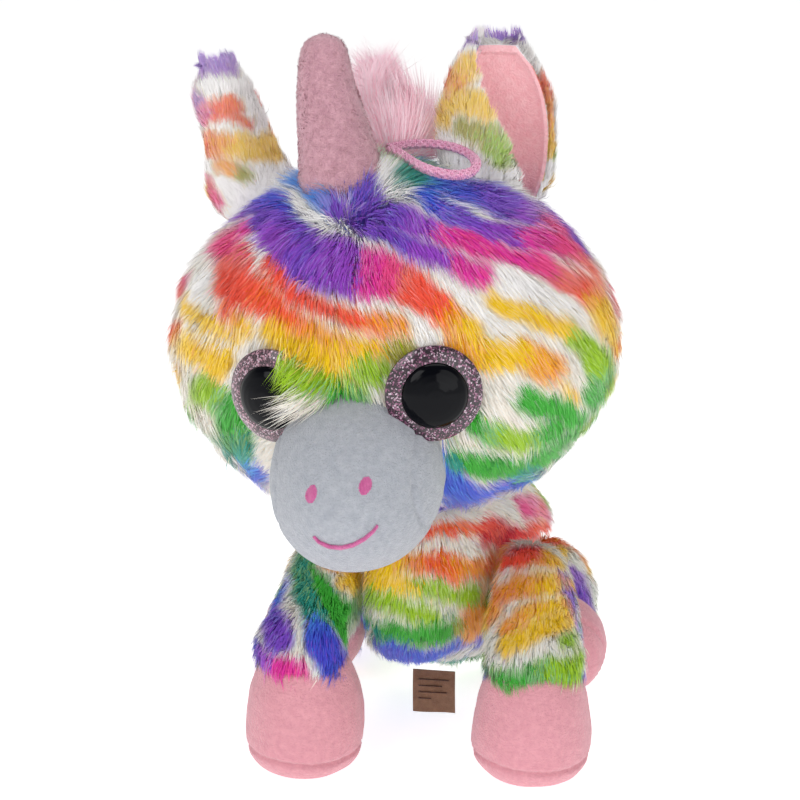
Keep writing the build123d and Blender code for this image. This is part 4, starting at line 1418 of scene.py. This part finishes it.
def make_label():
    place = from_body((9, -9, 12.1))
    rows, columns = 27, 25
    grid = [(a, b) for b in np.linspace(LABEL_HIGH / 2, -LABEL_HIGH / 2, rows)
            for a in np.linspace(-LABEL_WIDE / 2, LABEL_WIDE / 2, columns)]
    front = np.array([(a, -LABEL_HALF_THICKNESS + label_bow(a, b), b) for a, b in grid])
    back = front + np.array([0, 2 * LABEL_HALF_THICKNESS, 0])
    faces = grid_faces(rows, columns, wrap=False)
    back_faces = [tuple(v + len(front) for v in face[::-1]) for face in faces]
    faces += back_faces + rim_faces(edge_loop(rows, columns)[::-1], len(front))
    data = new_mesh("woven_label", np.vstack([front, back]) + place, faces, smooth=False)
    label = add_object("woven_label", data, "care_label", "brown_label", "care_label")
    set_material(label, thread_material("label_satin", (168, 128, 98), (138, 100, 74), scale=1400))
    bars = []
    for k, (left, right) in enumerate(LABEL_LINES):
        level = 4.6 - 2.4 * k
        line = [(a, -0.42 + label_bow(a, level), level) for a in np.linspace(left, right, 14)]
        bars.append(tube(np.array(line) + place, 0.22, 6))
    thread = thread_material("label_thread", (112, 76, 54), (92, 62, 44), scale=1600)
    marks = make_piece("label_woven_lines", *joined(bars), thread, "care_label", "brown_label")


make_label()


# ---------------------------------------------------------------- eyes and embroidery
PUPIL_PROFILE = [(10.4, 2.1), (10.6, 3.3), (10.3, 4.1), (9.4, 5.0), (7.8, 5.9), (5.6, 6.7), (3.0, 7.25),
                 (0.02, 7.4)]
SMILE = [(-28.3, -67.2), (-26.6, -69.0), (-23.0, -70.6), (-18.8, -71.0), (-14.6, -70.0), (-10.6, -67.8),
         (-7.6, -65.2), (-6.2, -63.4)]
SMILE_WIDTHS = [0.7, 1.15, 1.3, 1.3, 1.3, 1.15, 0.7]
NOSTRILS = {"right": [(-29.4, -55.0), (-28.7, -49.3)], "left": [(-10.9, -52.2), (-10.1, -46.5)]}
NOSTRIL_WIDTHS = [2.2, 3.8, 4.8, 5.2, 5.2, 4.8, 3.8, 2.2]
STITCH_ARCH = ((-1, -0.5), (-0.8, 0.35), (0, 0.75), (0.8, 0.35), (1, -0.5))


def make_pupils():
    """Domed pupils, set in the glitter rings."""
    for side in EYE_SEAT:
        axes = axes_about(EYE_AXIS[side], (0, 0, 1.0))
        points, faces, _, _ = lathe(PUPIL_PROFILE, EYE_SEAT[side], axes, 60, 96)
        gloss = gloss_material("pupil_gloss_" + side, (2, 3, 8), rough=0.08, coat=0.04)
        make_piece("pupil_dome_" + side, points, faces, gloss, "head", "black_gloss", "eye_pupil_" + side)


def on_muzzle(place, rise):
    """Point that stands a rise above the muzzle, where a place of the print shows it."""
    place = (np.asarray(place, float) - PRINT_OFFSET) / PRINT_SPREAD
    ray = unit(LOOK + RIGHT * place[0] + UP * place[1])
    radius = MUZZLE_RADIUS + rise
    scale = np.array([1, 1, radius / (MUZZLE_REACH + rise)])
    a, b = (MUZZLE_AXES @ (EYE_POINT - MUZZLE_CENTRE)) * scale, (MUZZLE_AXES @ ray) * scale
    half, square = a @ b, b @ b
    return EYE_POINT + ray * (-half - math.sqrt(half * half - square * (a @ a - radius ** 2))) / square


def satin(name, node, centres, widths, angle_of, step=0.42):
    """Side by side stitches along a line on the muzzle."""
    line, _ = spaced(np.array([(*c, 0) for c in centres], float), step)
    stitches = []
    for k, centre in enumerate(line[:, :2]):
        share = k / (len(line) - 1)
        half = stops(widths, np.array([share]))[0] / 2
        way = angle_of(share)
        across = np.array([math.cos(way), math.sin(way)]) * half * (1 + 0.06 * math.sin(k * 2.7))
        arch = np.array([on_muzzle(centre + across * part, rise) for part, rise in STITCH_ARCH])
        stitch, _ = spaced(arch, 0.3)
        stitches.append(tube(stitch, STITCH_RADIUS, 6))
    make_piece(name, *joined(stitches), THREAD_PINK, "head", "pink_thread", node)


def smile_angle(share):
    """Slant of the stitches, which follows the heading of the smile's line."""
    heading = np.arctan2(np.diff([p[1] for p in SMILE]), np.diff([p[0] for p in SMILE]))
    return float(stops(heading, np.array([share]))[0]) + math.pi / 2 - 0.35


def make_face_stitches():
    for side, line in NOSTRILS.items():
        satin("satin_nostril_" + side, "nostril_" + side, line, NOSTRIL_WIDTHS, lambda share: 0.12)
    satin("satin_smile", "smile_stitching", SMILE, SMILE_WIDTHS, smile_angle, step=0.38)


make_pupils()
make_face_stitches()


# ---------------------------------------------------------------- CAD nodes that stay in sight
NODE_FINISH = {
    "eye_ring_left": glitter_material("glitter_left", (54, 30, 46), (24, 12, 22), (150, 86, 122)),
    "eye_ring_right": glitter_material("glitter_right", (90, 60, 72), (44, 25, 35), (185, 135, 152)),
    "eye_lock_washers": gloss_material("washer_nylon", (232, 230, 224), rough=0.45, coat=0.0),
    "neck_seam_ring": fabric("seam_tape_weave", (228, 222, 216), (205, 198, 190)),
    "seat_pellet_bag": fabric("pellet_bag_weave", (230, 230, 224), (206, 206, 200)),
}
for node_name, finish in NODE_FINISH.items():
    set_material(frame["nodes"][node_name], finish)


# ---------------------------------------------------------------- floor and light
FLOOR_REACH = 9000.0
FLOOR_GLOW = 0.7
LAMP_SIZE = 700.0
LAMPS = {"key": ((-420, -700, 760), 3.4), "fill": ((620, -560, 420), 1.5), "crown": ((60, 160, 900), 2.0)}
LAMP_TARGET = (0, 0, 120)


def make_floor():
    count = 9
    steps = np.linspace(-FLOOR_REACH, FLOOR_REACH, count)
    points = np.array([(x, y, -0.2) for y in steps for x in steps])
    data = new_mesh("floor", points, grid_faces(count, count, wrap=False), smooth=False)
    floor = bpy.data.objects.new("floor", data)
    bpy.context.scene.collection.objects.link(floor)
    paper = fabric("floor_paper", (246, 246, 246), (240, 240, 240), 300, 8, bump=0.02, sheen=0.0, rough=0.7)
    glow = {"Emission Color": (1, 1, 1, 1), "Emission Strength": FLOOR_GLOW}
    fill(paper.node_tree, paper.node_tree.nodes["Principled BSDF"], glow)
    set_material(floor, paper)


def area_light(name, place, power):
    data = bpy.data.lights.new(name, "AREA")
    data.shape = "DISK"
    data.size = LAMP_SIZE * MM
    data.energy = power
    light = bpy.data.objects.new(name, data)
    bpy.context.scene.collection.objects.link(light)
    place, target = Vector(place) * MM, Vector(LAMP_TARGET) * MM
    light.location = place
    light.rotation_euler = (target - place).to_track_quat("-Z", "Y").to_euler()


def make_light():
    for name, (place, power) in LAMPS.items():
        area_light(name, place, power)
    world = bpy.data.worlds.new("studio")
    world.use_nodes = True
    tree = world.node_tree
    place = add_node(tree, "TexCoord", {}).outputs["Generated"]
    height = add_node(tree, "SeparateXYZ", {"Vector": place}).outputs["Z"]
    span = add_node(tree, "MapRange", {"Value": height, "From Min": 0.16, "From Max": 0.55,
                                       "To Min": 0.95, "To Max": 0.22})
    fill(tree, tree.nodes["Background"], {"Color": (1, 1, 1, 1), "Strength": span.outputs["Result"]})
    bpy.context.scene.world = world
    bpy.context.scene.view_settings.view_transform = "Standard"


make_floor()
make_light()
